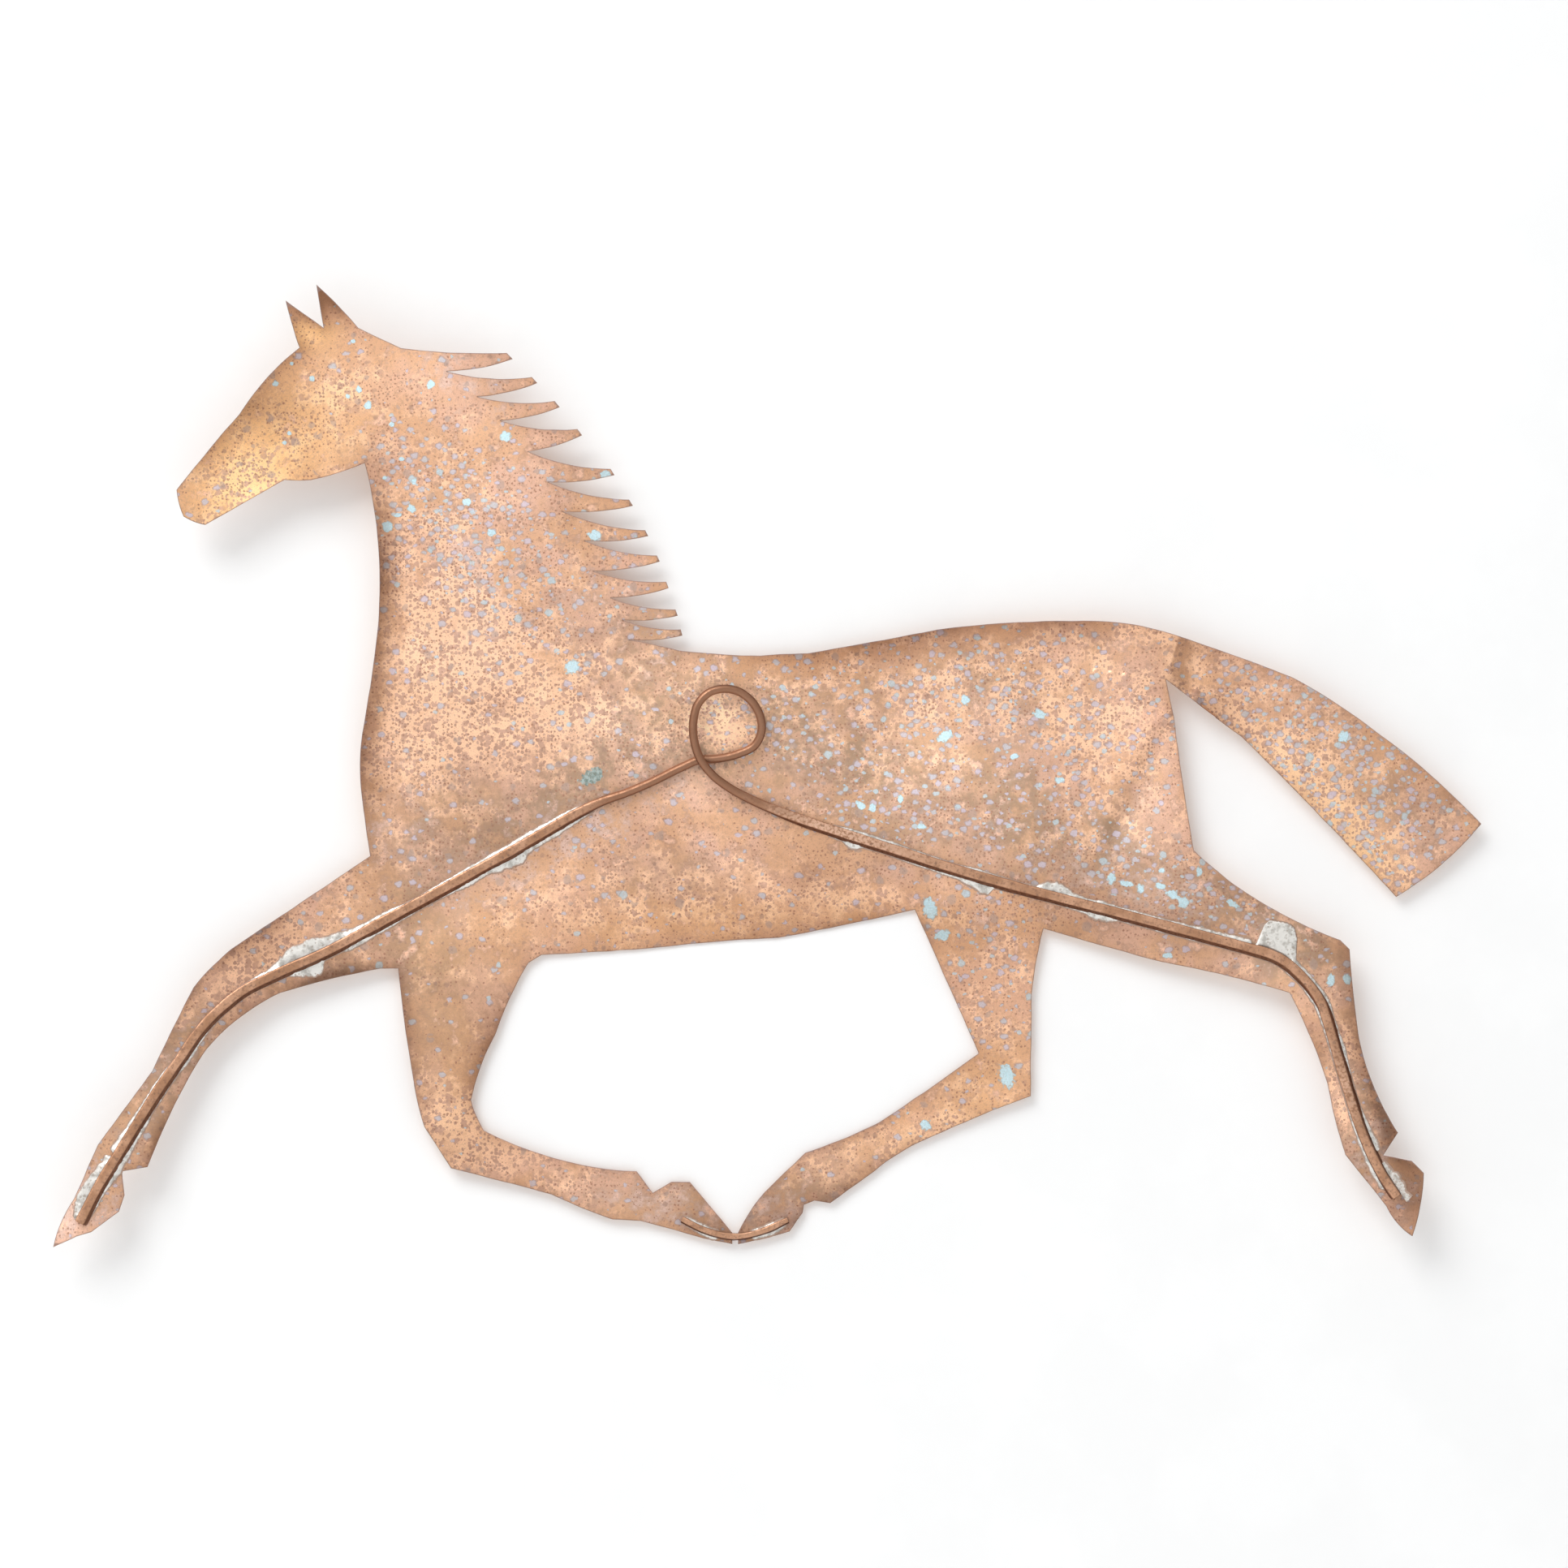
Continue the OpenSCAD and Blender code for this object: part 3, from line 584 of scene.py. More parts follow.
def copper_ground(s, painted_gold_sheen, large, medium, fine):
    """Copper between orange, tan and pink, with tarnished, worn and bare places, and a painted golden
    highlight that is partly golden copper.
    """
    olive, orange, wear, clean = map(s.value, ("olive", "orange", "wear", "clean"))
    base = s.mix(s.step(large, 0.40, 0.60), COPPER_TAN, COPPER_PINK)
    base = s.mix(s.step(medium, 0.54, 0.64, 0.0, 0.75), base, COPPER_BROWN)
    mottled = s.step(medium, 0.36, 0.56, 0.35, 1.0)
    base = s.mix(s.math("MULTIPLY", olive, mottled), base, COPPER_OLIVE)
    base = s.mix(s.math("MULTIPLY", orange, 0.9), base, COPPER_ORANGE)
    # Painted golden highlight, partly the copper's own golden tone
    base = s.mix(s.step(painted_gold_sheen, 0.0, 1.0), base, COPPER_GOLD_SHEEN)
    cloud = s.math("MULTIPLY_ADD", medium, 2.4, -1.2)
    worn = s.step(s.math("ADD", wear, cloud), 0.20, 0.80, 0.0, 0.8)
    base = s.mix(worn, base, COPPER_WORN)
    bare = s.step(s.math("ADD", clean, cloud), 0.25, 0.75, 0.0, 0.9)
    base = s.mix(bare, base, COPPER_BARE)
    return s.mix(s.step(fine, 0.50, 0.72, 0.0, 0.45), base, COPPER_BROWN)


def bright_network(s, base, flat, painted_gold_sheen, medium):
    """Bright copper left between small round dull cells of two sizes."""
    thick = s.step(medium, 0.36, 0.62, 0.75, 1.20)

    def dull_cells(vector, size, rare, r_lo, r_hi, rim_lo, rim_hi):
        distance, random = s.cells(vector, size)
        radius = s.math("MULTIPLY", s.step(random[0], rare, 1.0, r_lo, r_hi), thick)
        past = s.math("SUBTRACT", distance, radius)
        return s.step(past, rim_lo, rim_hi, 1.0, 0.0), random[1]

    vector = s.shifted(flat, 0.38, 1.0, 3.0)
    dull, shade = dull_cells(vector, 1.40, 0.15, 0.02, 0.52, -0.09, 0.11)
    vector = s.shifted(flat, 0.70, 1.9, 13.0)
    dull_wide, _ = dull_cells(vector, 2.9, 0.30, -0.1, 0.46, -0.05, 0.07)
    dull = s.math("MAXIMUM", dull, s.math("MULTIPLY", dull_wide, 0.9))
    # The network turns gold under the painted golden highlight
    bright = s.mix(painted_gold_sheen, NET_BRIGHT, NET_GOLD_SHEEN)
    amount = s.math("SUBTRACT", s.value("net"), 1.1)
    amount = s.math("MULTIPLY_ADD", s.noise(flat, 10, 4, 0.7, "2D"), 2.2, amount)
    patch = s.step(amount, 0.20, 0.95, 0.0, 0.92)
    return s.mix(patch, base, s.mix(dull, bright, s.mix(shade, CELL_TAN, CELL_BROWN)))


def pits_and_spots(s, base, flat):
    """Fine dark pits, and brown and grey oxide spots: the colour, and where it is dull."""
    cluster = s.step(s.noise(flat, 15, 3, 0.6, "2D"), 0.38, 0.62, 0.15, 1.2)
    density = s.math("MULTIPLY", s.value("spots"), cluster)
    vector = s.shifted(flat, 0.3, 0.9, 7.0)
    pit, _, _ = s.droplets(vector, 1.5, 0.16, 0.42, density, 0.5, 1.3)
    base = s.mix(s.math("MULTIPLY", pit, 0.85), base, PIT_BROWN)
    vector = s.shifted(flat, 0.5, 1.3, 9.0)
    brown, _, random = s.droplets(vector, 3.3, 0.30, 1.00, density, 0.35, 1.6)
    strength = s.math("MULTIPLY_ADD", random, 0.45, 0.22)
    base = s.mix(s.math("MULTIPLY", brown, strength), base, SPOT_BROWN)
    vector = s.shifted(flat, 0.9, 2.4, 15.0)
    sparse = s.math("MULTIPLY", density, 0.7)
    grey, _, _ = s.droplets(vector, 8.5, 0.7, 1.9, sparse, 0.25, 1.8)
    base = s.mix(s.math("MULTIPLY", grey, 0.55), base, SPOT_GREY)
    dull = s.math("MAXIMUM", s.math("MULTIPLY", brown, 0.7), s.math("MULTIPLY", grey, 0.5))
    return base, dull


def droplet_crusts(s, base, flat, fine):
    """Lavender-grey and verdigris droplets: the colour, where it is crusted, and the patches."""
    green, blob, teal_blob = map(s.value, ("green", "blob", "teal"))
    # The droplets have run a little, down to the right
    run = s.node("ShaderNodeMapping", {
        "Vector": flat, "Rotation": (0.0, 0.0, math.radians(40)), "Scale": (0.86, 1.08, 1.0),
    }).outputs[0]
    vector = s.shifted(run, 0.8, 1.7, 23.0)
    often = s.math("MULTIPLY", green, 1.25)
    lavender, share, random = s.droplets(vector, 3.6, 0.35, 1.55, often, 0.22, 1.3)
    body = s.mix(random, LAVENDER, LAVENDER_GREY)
    body = s.mix(s.step(share, 0.55, 1.0), body, LAVENDER_RIM)
    base = s.mix(s.math("MULTIPLY", lavender, 0.85), base, body)

    grain = s.noise(flat, 0.8, 2, 0.5, "2D")
    pale_body = s.mix(grain, (0.360, 0.550, 0.570), (0.580, 0.770, 0.800))
    grey_body = s.mix(grain, (0.360, 0.430, 0.430), (0.500, 0.590, 0.600))

    def crust(under, mask, strength, share, body):
        rim = s.math("MULTIPLY", s.step(share, 0.72, 1.0), 0.8)
        return s.mix(s.math("MULTIPLY", mask, strength), under, s.mix(rim, body, CRUST_RIM))

    vector = s.shifted(run, 0.6, 1.5, 31.0)
    sparse = s.math("MULTIPLY", s.math("POWER", green, 1.6), 0.8)
    small, share, _ = s.droplets(vector, 4.4, 0.38, 1.10, sparse, 0.14, 1.8)
    base = crust(base, small, 0.80, share, grey_body)
    vector = s.shifted(flat, 0.7, 1.8, 41.0)
    rare = s.math("MULTIPLY", green, 0.45)
    large, share, _ = s.droplets(vector, 13.0, 0.8, 1.7, rare, 0.12, 1.5)
    base = crust(base, large, 0.85, share, grey_body)

    # The placed patches, with ragged outlines
    ragged = s.math("MULTIPLY_ADD", s.noise(flat, 1.7, 2, 0.5, "2D"), 1.2, -0.6)
    share = s.math("ADD", blob, ragged)
    placed = s.step(share, 0.90, 1.06, 1.0, 0.0)
    base = crust(base, placed, 0.92, share, pale_body)
    teal = s.step(s.math("ADD", teal_blob, ragged), 0.85, 1.1, 1.0, 0.0)
    teal_colour = s.mix(s.step(fine, 0.35, 0.65), (0.110, 0.180, 0.155), (0.300, 0.400, 0.370))
    base = s.mix(s.math("MULTIPLY", teal, 0.88), base, teal_colour)

    crusted = s.math("MULTIPLY", lavender, 0.6)
    for mask in (small, large, placed, teal):
        crusted = s.math("MAXIMUM", crusted, mask)
    return base, crusted, placed


def copper_sheet():
    s = Shader("patinated_copper_sheet")
    _, flat = s.place()
    painted_gold_sheen, painted_light_and_tone, edge, upper = map(s.value, ("painted_gold_sheen", "painted_light_and_tone", "edge", "upper"))
    large = s.noise(flat, 30, 3, 0.6, "2D")
    medium = s.noise(flat, 9, 4, 0.65, "2D")
    fine = s.noise(flat, 1.5, 3, 0.65, "2D")
    hair = s.noise(flat, 0.5, 2, 0.6, "2D")

    base = copper_ground(s, painted_gold_sheen, large, medium, fine)
    base = bright_network(s, base, flat, painted_gold_sheen, medium)
    base, dull = pits_and_spots(s, base, flat)
    base, crusted, placed = droplet_crusts(s, base, flat, fine)
    base = s.mix(s.step(hair, 0.40, 0.75, 0.0, 0.30), base, HAIR_BROWN)

    # Painted shade and light over the copper's tone, redder where it is darker
    green_tone = s.math("POWER", painted_light_and_tone, 1.18)
    blue_tone = s.math("MULTIPLY", s.math("POWER", painted_light_and_tone, 1.30), 1.05)
    shade = s.node("ShaderNodeCombineColor", {0: painted_light_and_tone, 1: green_tone, 2: blue_tone})
    base = s.mix(1.0, base, shade.outputs[0], "MULTIPLY")

    # The sheared rim shows as a fine line, with painted highlight on upper edges and painted shade on
    # lower ones
    rim = s.step(edge, 0.10, 0.50, 0.75, 0.0)
    base = s.mix(rim, base, s.mix(upper, RIM_PAINTED_SHADE, RIM_PAINTED_HIGHLIGHT))

    metallic = s.blend(crusted, s.blend(dull, 0.68, 0.40), 0.05)
    rough = s.blend(dull, s.step(medium, 0.3, 0.75, 0.40, 0.54), 0.62)
    rough = s.blend(crusted, rough, 0.85)
    height = s.math("MULTIPLY_ADD", hair, 0.25, s.math("MULTIPLY", fine, 0.35))
    height = s.math("MULTIPLY_ADD", placed, 0.6, height)
    return s.finish(base, rough, metallic, height, 0.35, 0.0002)


def cut_edge():
    """Sheared edge of the sheet: brighter, with fine lines across its thickness."""
    s = Shader("sheared_copper_edge")
    mm, _ = s.place()
    large = s.noise(mm, 2.2, 3)
    fine = s.noise(mm, 0.25, 2)
    colour = s.mix(s.step(large, 0.35, 0.65), (0.560, 0.340, 0.270), (0.760, 0.520, 0.450))
    colour = s.mix(s.step(fine, 0.4, 0.7, 0.0, 0.4), colour, (0.400, 0.260, 0.210))
    return s.finish(colour, s.step(large, 0.3, 0.7, 0.35, 0.5), 0.7, fine, 0.3, 0.0001)


def rod_copper():
    """Hammered rod: a brown crown with painted light on its side towards the lamp, painted shade with
    dark flux residue on the flank away from it, and copper rubbed bright in places.
    """
    s = Shader("hammered_copper_rod")
    mm, flat = s.place()
    rod_painted_light, roundness, rubbed = map(s.value, ("rod_painted_light", "round", "rubbed"))
    large = s.noise(mm, 9, 3)
    fine = s.noise(mm, 1.1, 3)
    # The side colour is painted shade, with dark flux residue, on the flank away from the light; the
    # painted light attribute mixes it with the top colour
    side = s.mix(s.step(fine, 0.35, 0.7), (0.110, 0.046, 0.025), (0.200, 0.092, 0.053))
    top = s.mix(s.step(large, 0.36, 0.64), (0.440, 0.230, 0.130), (0.620, 0.350, 0.220))
    top = s.mix(s.step(fine, 0.46, 0.72, 0.0, 0.7), top, (0.270, 0.145, 0.095))
    spot, _, _ = s.droplets(s.shifted(flat, 0.3, 1.0, 5.0), 2.4, 0.25, 0.7, 0.45, 0.3)
    top = s.mix(s.math("MULTIPLY", spot, 0.5), top, (0.200, 0.120, 0.085))
    top = s.mix(s.math("MULTIPLY", roundness, 0.85), top, (0.345, 0.172, 0.102))
    bright = s.math("MULTIPLY", rubbed, s.step(fine, 0.62, 0.40, 0.0, 0.8))
    top = s.mix(bright, top, (0.800, 0.520, 0.380))
    rough = s.step(fine, 0.3, 0.7, 0.34, 0.50)
    height = s.math("MULTIPLY_ADD", fine, 0.6, s.math("MULTIPLY", spot, 0.2))
    return s.finish(s.mix(rod_painted_light, side, top), rough, 0.8, height, 0.4, 0.0002)


def solder_metal():
    """Soft solder: silver-grey, pitted, and brown where it runs out thin."""
    s = Shader("soft_solder")
    mm, flat = s.place()
    large = s.noise(mm, 3.0, 4, 0.6)
    fine = s.noise(mm, 0.7, 3, 0.6)
    colour = s.mix(s.step(large, 0.42, 0.64), (0.790, 0.770, 0.730), (0.480, 0.460, 0.425))
    pit, _, _ = s.droplets(s.shifted(flat, 0.35, 0.9, 7.0), 1.5, 0.18, 0.55, 0.5, 0.4)
    colour = s.mix(s.math("MULTIPLY", pit, 0.6), colour, (0.330, 0.270, 0.220))
    thin = s.math("MULTIPLY_ADD", s.value("dull"), 1.0, -0.40)
    thin = s.step(s.math("MULTIPLY_ADD", fine, 0.9, thin), 0.25, 0.65)
    colour = s.mix(s.math("MULTIPLY", thin, 0.85), colour, (0.400, 0.255, 0.185))
    rough = s.blend(thin, s.step(large, 0.35, 0.7, 0.36, 0.56), 0.62)
    height = s.math("MULTIPLY_ADD", fine, 0.5, s.math("MULTIPLY", pit, -0.3))
    return s.finish(colour, rough, 0.7, height, 0.4, 0.0002)


SHEET_MAT, EDGE_MAT, ROD_MAT, SOLDER_MAT = copper_sheet(), cut_edge(), rod_copper(), solder_metal()

# ---------------------------------------------------------------- the sheet
# Patches of painted shade (below 0) and painted light (above 0), over the copper's own tone: x, z, size
# x, size z, turn, amount
PAINTED_LIGHT_PATCHES = [
    (-103, 34, 24, 34, 10, 0.06), (-182, 82, 10, 8, 40, 0.10), (-178, 112, 14, 10, 40, -0.10),
    (-128, 138, 22, 12, -20, 0.24), (-150, 124, 10, 10, 0, 0.10), (-92, 110, 18, 14, -40, 0.16),
    (-131, 20, 5, 50, 0, -0.14), (-10, 6, 22, 18, 0, 0.25), (-14, 24, 14, 6, 0, 0.10),
    (75, -16, 16, 12, 0, 0.26), (100, -4, 50, 14, 0, 0.08), (52, 44, 34, 7, 8, -0.14),
    (160, -36, 10, 20, 0, 0.16), (222, 2, 20, 14, -40, 0.10), (262, -52, 16, 10, 0, 0.06),
    (-98, -74, 22, 10, 20, 0.22), (-70, -60, 20, 8, 20, 0.10), (-182, -82, 16, 7, 35, -0.14),
    (-142, -98, 16, 6, 20, -0.16), (-158, -84, 16, 5, 28, 0.12), (-88, -134, 9, 20, 0, -0.10),
    (230, -136, 4, 16, -76, 0.10), (247, -140, 3.5, 20, 14, -0.25), (241, -112, 30, 3.5, -76, -0.20),
    (54, -176, 20, 5, 25, -0.16), (-213, -160, 8, 10, 0, -0.16), (0, -78, 70, 7, 3, -0.06),
    (210, -82, 16, 6, -30, 0.08), (248, -84, 6, 10, 0, -0.15), (0, -184, 14, 8, 0, -0.10),
    (158, -10, 15, 3, 64, -0.16), (146, -36, 14, 3, 64, -0.18), (164, -14, 14, 4, 64, 0.12),
    (154, -42, 12, 4, 64, 0.12), (172.5, 23.5, 9, 3.5, 75, -0.12), (178, 22, 9, 3, 75, 0.08),
    (130, -62, 40, 5, -15, -0.06), (-150, 160, 14, 10, 0, -0.24), (-40, 0, 12, 16, 0, 0.08),
    (200, 10, 30, 14, -30, -0.10), (235, -8, 24, 14, -40, -0.08), (60, -66, 40, 10, -5, -0.08),
    (-190, -104, 24, 10, 40, -0.08), (-118, 96, 20, 12, 0, 0.10), (-182, 112, 10, 8, 40, 0.02),
    (-12, -22, 8, 6, 0, 0.25), (20, -186, 24, 10, 0, -0.14), (-70, -176, 30, 8, -10, -0.10),
    (-172, 90, 8, 8, 0, 0.06), (150, -74, 16, 8, -20, -0.10), (172, -80, 20, 10, -20, -0.08),
    (-85, -155, 16, 10, 0, -0.10), (256, -150, 8, 16, 0, -0.15), (232, 0, 30, 20, -40, 0.08),
    (-185, 85, 14, 16, 0, 0.08), (-75, 85, 16, 12, -40, 0.10), (-130, 20, 8, 14, 0, 0.10),
    (152, 34, 14, 8, 0, 0.14), (70, -18, 12, 10, 0, 0.10), (90, -60, 14, 6, 0, 0.14),
    (-150, 160, 12, 8, 0, -0.12), (-172, 122, 8, 9, 40, -0.12), (-130, 122, 10, 8, 0, 0.12),
    (130, 40, 12, 6, 0, -0.12), (192, -64, 12, 6, -25, -0.20), (230, -82, 10, 7, -30, -0.20),
    (-172, -84, 12, 7, 30, -0.16), (-150, -100, 12, 7, 20, -0.12), (-90, -122, 7, 12, 0, -0.12),
    (50, -82, 16, 5, 0, -0.10), (130, -84, 14, 5, -15, -0.12), (210, -102, 9, 9, 0, 0.12),
    (234, -102, 5, 10, 0, -0.14), (-228, -150, 9, 16, -30, 0.12), (232, -140, 6, 12, 15, 0.12),
    (252, -144, 5, 14, 15, -0.22), (8, -184, 26, 9, 0, -0.03), (50, -172, 16, 7, 25, -0.14),
    (-248, -182, 5, 8, 0, 0.40), (-50, -180, 12, 8, 0, 0.10), (244, -126, 6, 24, 14, -0.16),
    (258, -180, 6, 12, 0, -0.30), (222, -86, 14, 8, -40, -0.08), (-230, -165, 8, 14, -30, 0.08),
    (250, -142, 5, 14, 14, -0.20), (252, -180, 10, 10, 0, -0.24), (-248, -184, 5, 7, 0, 0.16),
    (-230, -178, 8, 7, 0, -0.12), (-208, -160, 8, 8, 0, -0.12), (-90, -120, 8, 9, 0, -0.10),
    (190, -100, 8, 6, 0, -0.12), (-150, -101, 9, 5, 0, -0.12), (60, -80, 28, 7, 0, -0.12),
    (130, -82, 10, 6, 0, -0.08), (30, -60, 10, 7, 0, -0.12), (210, -92, 6, 14, 0, 0.10),
    (150, -40, 8, 8, 0, 0.11), (130, 20, 40, 10, 0, 0.09), (70, 40, 10, 6, 0, -0.11),
    (20, -80, 80, 6, 3, -0.08), (130, 40, 14, 5, 0, -0.14), (80, 40, 30, 6, 5, -0.08),
    (-172, 108, 10, 14, 0, -0.07), (-40, 40, 12, 10, 0, 0.09), (32, -8, 12, 12, 0, 0.09),
    (140, -20, 14, 10, 0, -0.08), (205, -86, 14, 12, -20, 0.12), (248, -142, 4, 14, 14, -0.20),
    (252, -178, 8, 9, 0, 0.13), (231, -142, 5, 10, 15, 0.13), (-247, -185, 5, 8, 0, 0.18),
    (-212, -130, 10, 18, -30, 0.10), (104, -108, 12, 16, 0, -0.10), (50, -178, 8, 5, 0, -0.12),
    (-32, -178, 8, 7, 0, -0.12), (-92, -160, 10, 6, 0, -0.10), (262, -28, 14, 12, -40, -0.08),
    (213, -14, 8, 8, -40, 0.10), (-157, 148, 6, 3.5, 0, 0.15), (-150, 160, 10, 6, 0, -0.12),
    (-150, 100, 10, 8, 0, 0.06), (-170, -82, 8, 6, 30, -0.14), (-205, -106, 10, 8, 40, -0.12),
    (-150, -101, 9, 5, 0, -0.12), (-208, -160, 7, 8, 0, -0.12), (190, -99, 8, 5, -15, -0.16),
    (188, 4, 8, 8, 0, -0.10), (96, -78, 14, 6, 0, 0.06), (150, -42, 8, 6, 0, 0.08),
    (106, -28, 14, 12, 0, 0.18), (-50, -18, 12, 8, 20, 0.08), (60, -36, 24, 6, -15, 0.05),
    (-176, -84, 8, 6, 30, 0.08), (60, -80, 26, 5, 0, -0.08), (-178, 92, 20, 14, 40, 0.06),
]
# Painted golden highlight, partly golden copper: x, z, size x, size z, turn, amount
GOLD_SHEEN_PATCHES = [
    (-182, 88, 18, 12, 40, 0.85), (-152, 122, 22, 14, 0, 0.45), (-166, 100, 20, 14, 0, 0.35),
    (-102, -130, 12, 34, 0, 0.25), (98, -130, 12, 24, 0, 0.30), (60, -160, 30, 8, 25, 0.25),
    (215, -24, 40, 10, -42, 0.35), (240, -52, 20, 10, -42, 0.30), (0, -2, 14, 12, 0, 0.20),
    (0, -76, 70, 8, 3, 0.35), (-186, 104, 14, 22, 0, 0.25), (-157, 147, 7, 4, 0, 0.8),
]
# Redder orange ground, pale pinkish wear and bare bright copper
ORANGES = [
    (0, -74, 75, 9, 3, 0.75), (70, 33, 60, 8, 8, 0.70), (20, 22, 24, 7, 0, 0.5),
    (-185, 112, 16, 14, 40, 0.6), (-132, 20, 6, 60, 0, 0.6), (100, -100, 16, 30, 0, 0.4),
    (200, 12, 34, 10, -30, 0.5), (-100, -125, 12, 34, 0, 0.3), (-112, 122, 40, 10, -20, 0.3),
    (60, -150, 30, 10, 25, 0.3), (-160, 140, 12, 16, 0, 0.5), (-150, 157, 14, 10, 0, 0.6),
    (-200, 84, 12, 10, 0, 0.5), (250, -4, 16, 7, -40, 0.5),
]
WEARS = [
    (-97, 54, 8, 15, 25, 0.85), (-88, 38, 6, 8, 0, 0.5), (-62, -42, 40, 8, 28, 0.45),
    (158, -64, 34, 10, -20, 0.45), (-50, 40, 30, 30, 0, 0.22), (-26, -182, 16, 8, 0, 0.55),
    (22, -183, 14, 8, 0, 0.5), (-240, -178, 14, 16, 0, 0.45), (90, -74, 18, 8, 0, 0.3),
    (-125, -30, 16, 14, 30, 0.3), (246, -160, 12, 20, 0, 0.45), (140, 0, 24, 20, 0, 0.3),
    (-190, -110, 30, 7, 45, 0.3), (-100, 128, 18, 8, -30, 0.4),
]
CLEANS = [
    (3, -2, 7, 6, 0, 0.9), (-15, -1, 6, 6, 0, 0.5), (-104, 18, 12, 7, 0, 0.25),
    (72, -14, 10, 6, 0, 0.3), (231.5, -146, 3, 7, 15, 0.7), (247, -177, 3, 5, 35, 0.6),
    (228, -118, 3, 8, 20, 0.4),
]
# Bands of painted shade and darker patina along the edge: x, z, reach, amount, width of the band
EDGE_SHADE_AND_PATINA = [
    (-133, 50, 45, 0.44, 8), (-136, -10, 32, 0.42, 8), (-190, 112, 24, 0.36, 9),
    (-163, 140, 14, 0.25, 5), (95, 37, 75, 0.38, 11), (32, 28, 30, 0.28, 8),
    (-60, 120, 60, 0.12, 3), (-118, -120, 34, 0.22, 5), (-82, -120, 26, 0.18, 4),
    (240, -130, 34, 0.26, 6), (-200, -120, 40, 0.20, 4), (176, -10, 34, 0.10, 3),
    (225, 5, 50, 0.16, 5), (-151, 158, 14, 0.35, 6), (0, -84, 90, 0.14, 4),
    (-180, -84, 26, 0.28, 5), (-142, -96, 24, 0.28, 4), (-212, -160, 20, 0.32, 4),
    (270, -40, 24, 0.14, 4), (60, -165, 40, 0.18, 4), (-60, -175, 40, 0.14, 4),
]
# Bright network, dark spots and verdigris: x, z, size x, size z, turn, amount
NETS = [
    (-108, 36, 20, 34, 10, 0.75), (-70, 8, 26, 20, 0, 0.55), (-178, 90, 16, 11, 40, 0.7),
    (-150, 122, 14, 10, 0, 0.35), (90, 15, 40, 14, 10, 0.45), (140, -15, 20, 26, 0, 0.45),
    (215, -20, 44, 14, -42, 0.75), (-175, -85, 22, 12, 35, 0.6), (-30, -66, 40, 10, 0, 0.45),
    (-105, -150, 16, 12, 0, 0.6), (-80, -160, 22, 8, -15, 0.5), (100, -95, 10, 20, 0, 0.4),
    (70, -158, 30, 8, 25, 0.5), (50, -62, 20, 9, 0, 0.4), (0, 5, 12, 12, 0, 0.5),
    (-120, -10, 14, 14, 0, 0.4), (236, -120, 8, 24, -15, 0.5), (150, -95, 26, 6, -14, 0.4),
    (110, -25, 8, 12, 0, -0.7),
]
SPOTS = [
    (-130, 100, 40, 22, -30, 0.35), (-90, 50, 30, 30, -40, 0.3), (-178, 88, 20, 12, 40, 0.2),
    (60, -30, 40, 12, -15, 0.4), (150, -55, 36, 12, -15, 0.4), (-60, -35, 30, 14, 28, 0.3),
    (220, -20, 40, 16, -42, -0.22), (-10, 5, 24, 16, 0, 0.2), (-100, -120, 12, 30, 0, -0.15),
    (-96, 70, 26, 22, -40, 0.35), (-110, 0, 20, 16, 0, 0.2), (90, 0, 40, 20, 0, 0.15),
    (-155, 112, 30, 20, 0, 0.25), (115, -71, 12, 6, -15, 0.9), (190, -82, 20, 6, -15, 0.5),
    (80, -145, 20, 10, 25, 0.3),
]
GREENS = [
    (-108, 84, 16, 14, -30, 0.55), (-88, 62, 16, 18, -35, 0.6), (-62, 40, 14, 14, 0, 0.35),
    (-120, 92, 14, 10, 0, 0.3), (90, 8, 44, 20, 0, 0.45), (215, 5, 20, 14, -38, 0.75),
    (238, -22, 30, 20, -42, 0.95), (162, -56, 26, 8, -22, 0.75), (190, -68, 16, 6, -35, 0.5),
    (60, -32, 26, 7, -15, 0.55), (98, -95, 12, 18, 0, 0.45), (-165, 108, 24, 20, 0, -0.25),
    (25, 2, 24, 14, 0, 0.25), (130, -20, 26, 18, 0, 0.35), (-50, 80, 14, 30, 30, 0.15),
]
# Brown-olive tarnish: x, z, size x, size z, turn, amount
OLIVES = [
    (-30, 25, 26, 14, -30, 0.5), (-20, 2, 30, 12, 20, 0.5), (-100, 20, 10, 8, 0, 0.7),
    (-60, -25, 36, 10, 28, 0.7), (-120, -35, 26, 14, 30, 0.6), (70, -20, 30, 12, -15, 0.7),
    (130, -45, 24, 10, -20, 0.8), (100, 18, 20, 9, -30, 0.6), (-105, -110, 12, 26, 0, 0.6),
    (190, -72, 26, 9, -30, 0.9), (240, -130, 10, 34, -15, 0.6), (-115, -85, 14, 12, 0, 0.5),
    (225, -5, 22, 10, -40, 0.5), (260, -35, 16, 10, -40, 0.5), (-215, -140, 12, 26, -30, 0.4),
    (20, 18, 40, 6, 0, 0.5), (-20, -60, 20, 8, 0, 0.5), (-150, -95, 20, 8, 30, 0.6),
    (210, -82, 20, 12, -30, 0.6), (-24, -180, 22, 8, 0, 0.7), (28, -180, 22, 9, 15, 0.8),
    (-205, -125, 14, 22, -30, 0.4),
    (250, -165, 10, 22, 10, 0.6), (0, 8, 22, 18, 0, 0.35), (30, -10, 26, 16, 0, 0.4),
    (110, -25, 9, 12, 0, 0.8), (146, -38, 5, 12, -20, 0.5),
]
BACK_TONE = 1.08
MOST_OLIVE = 0.85
HIGHEST = 9.0  # no number on the mesh is larger


def patches(x, z, rows):
    total = np.zeros_like(x)
    for *place, amount in rows:
        total += amount * np.exp(-0.5 * turned(x, z, *place))
    return total


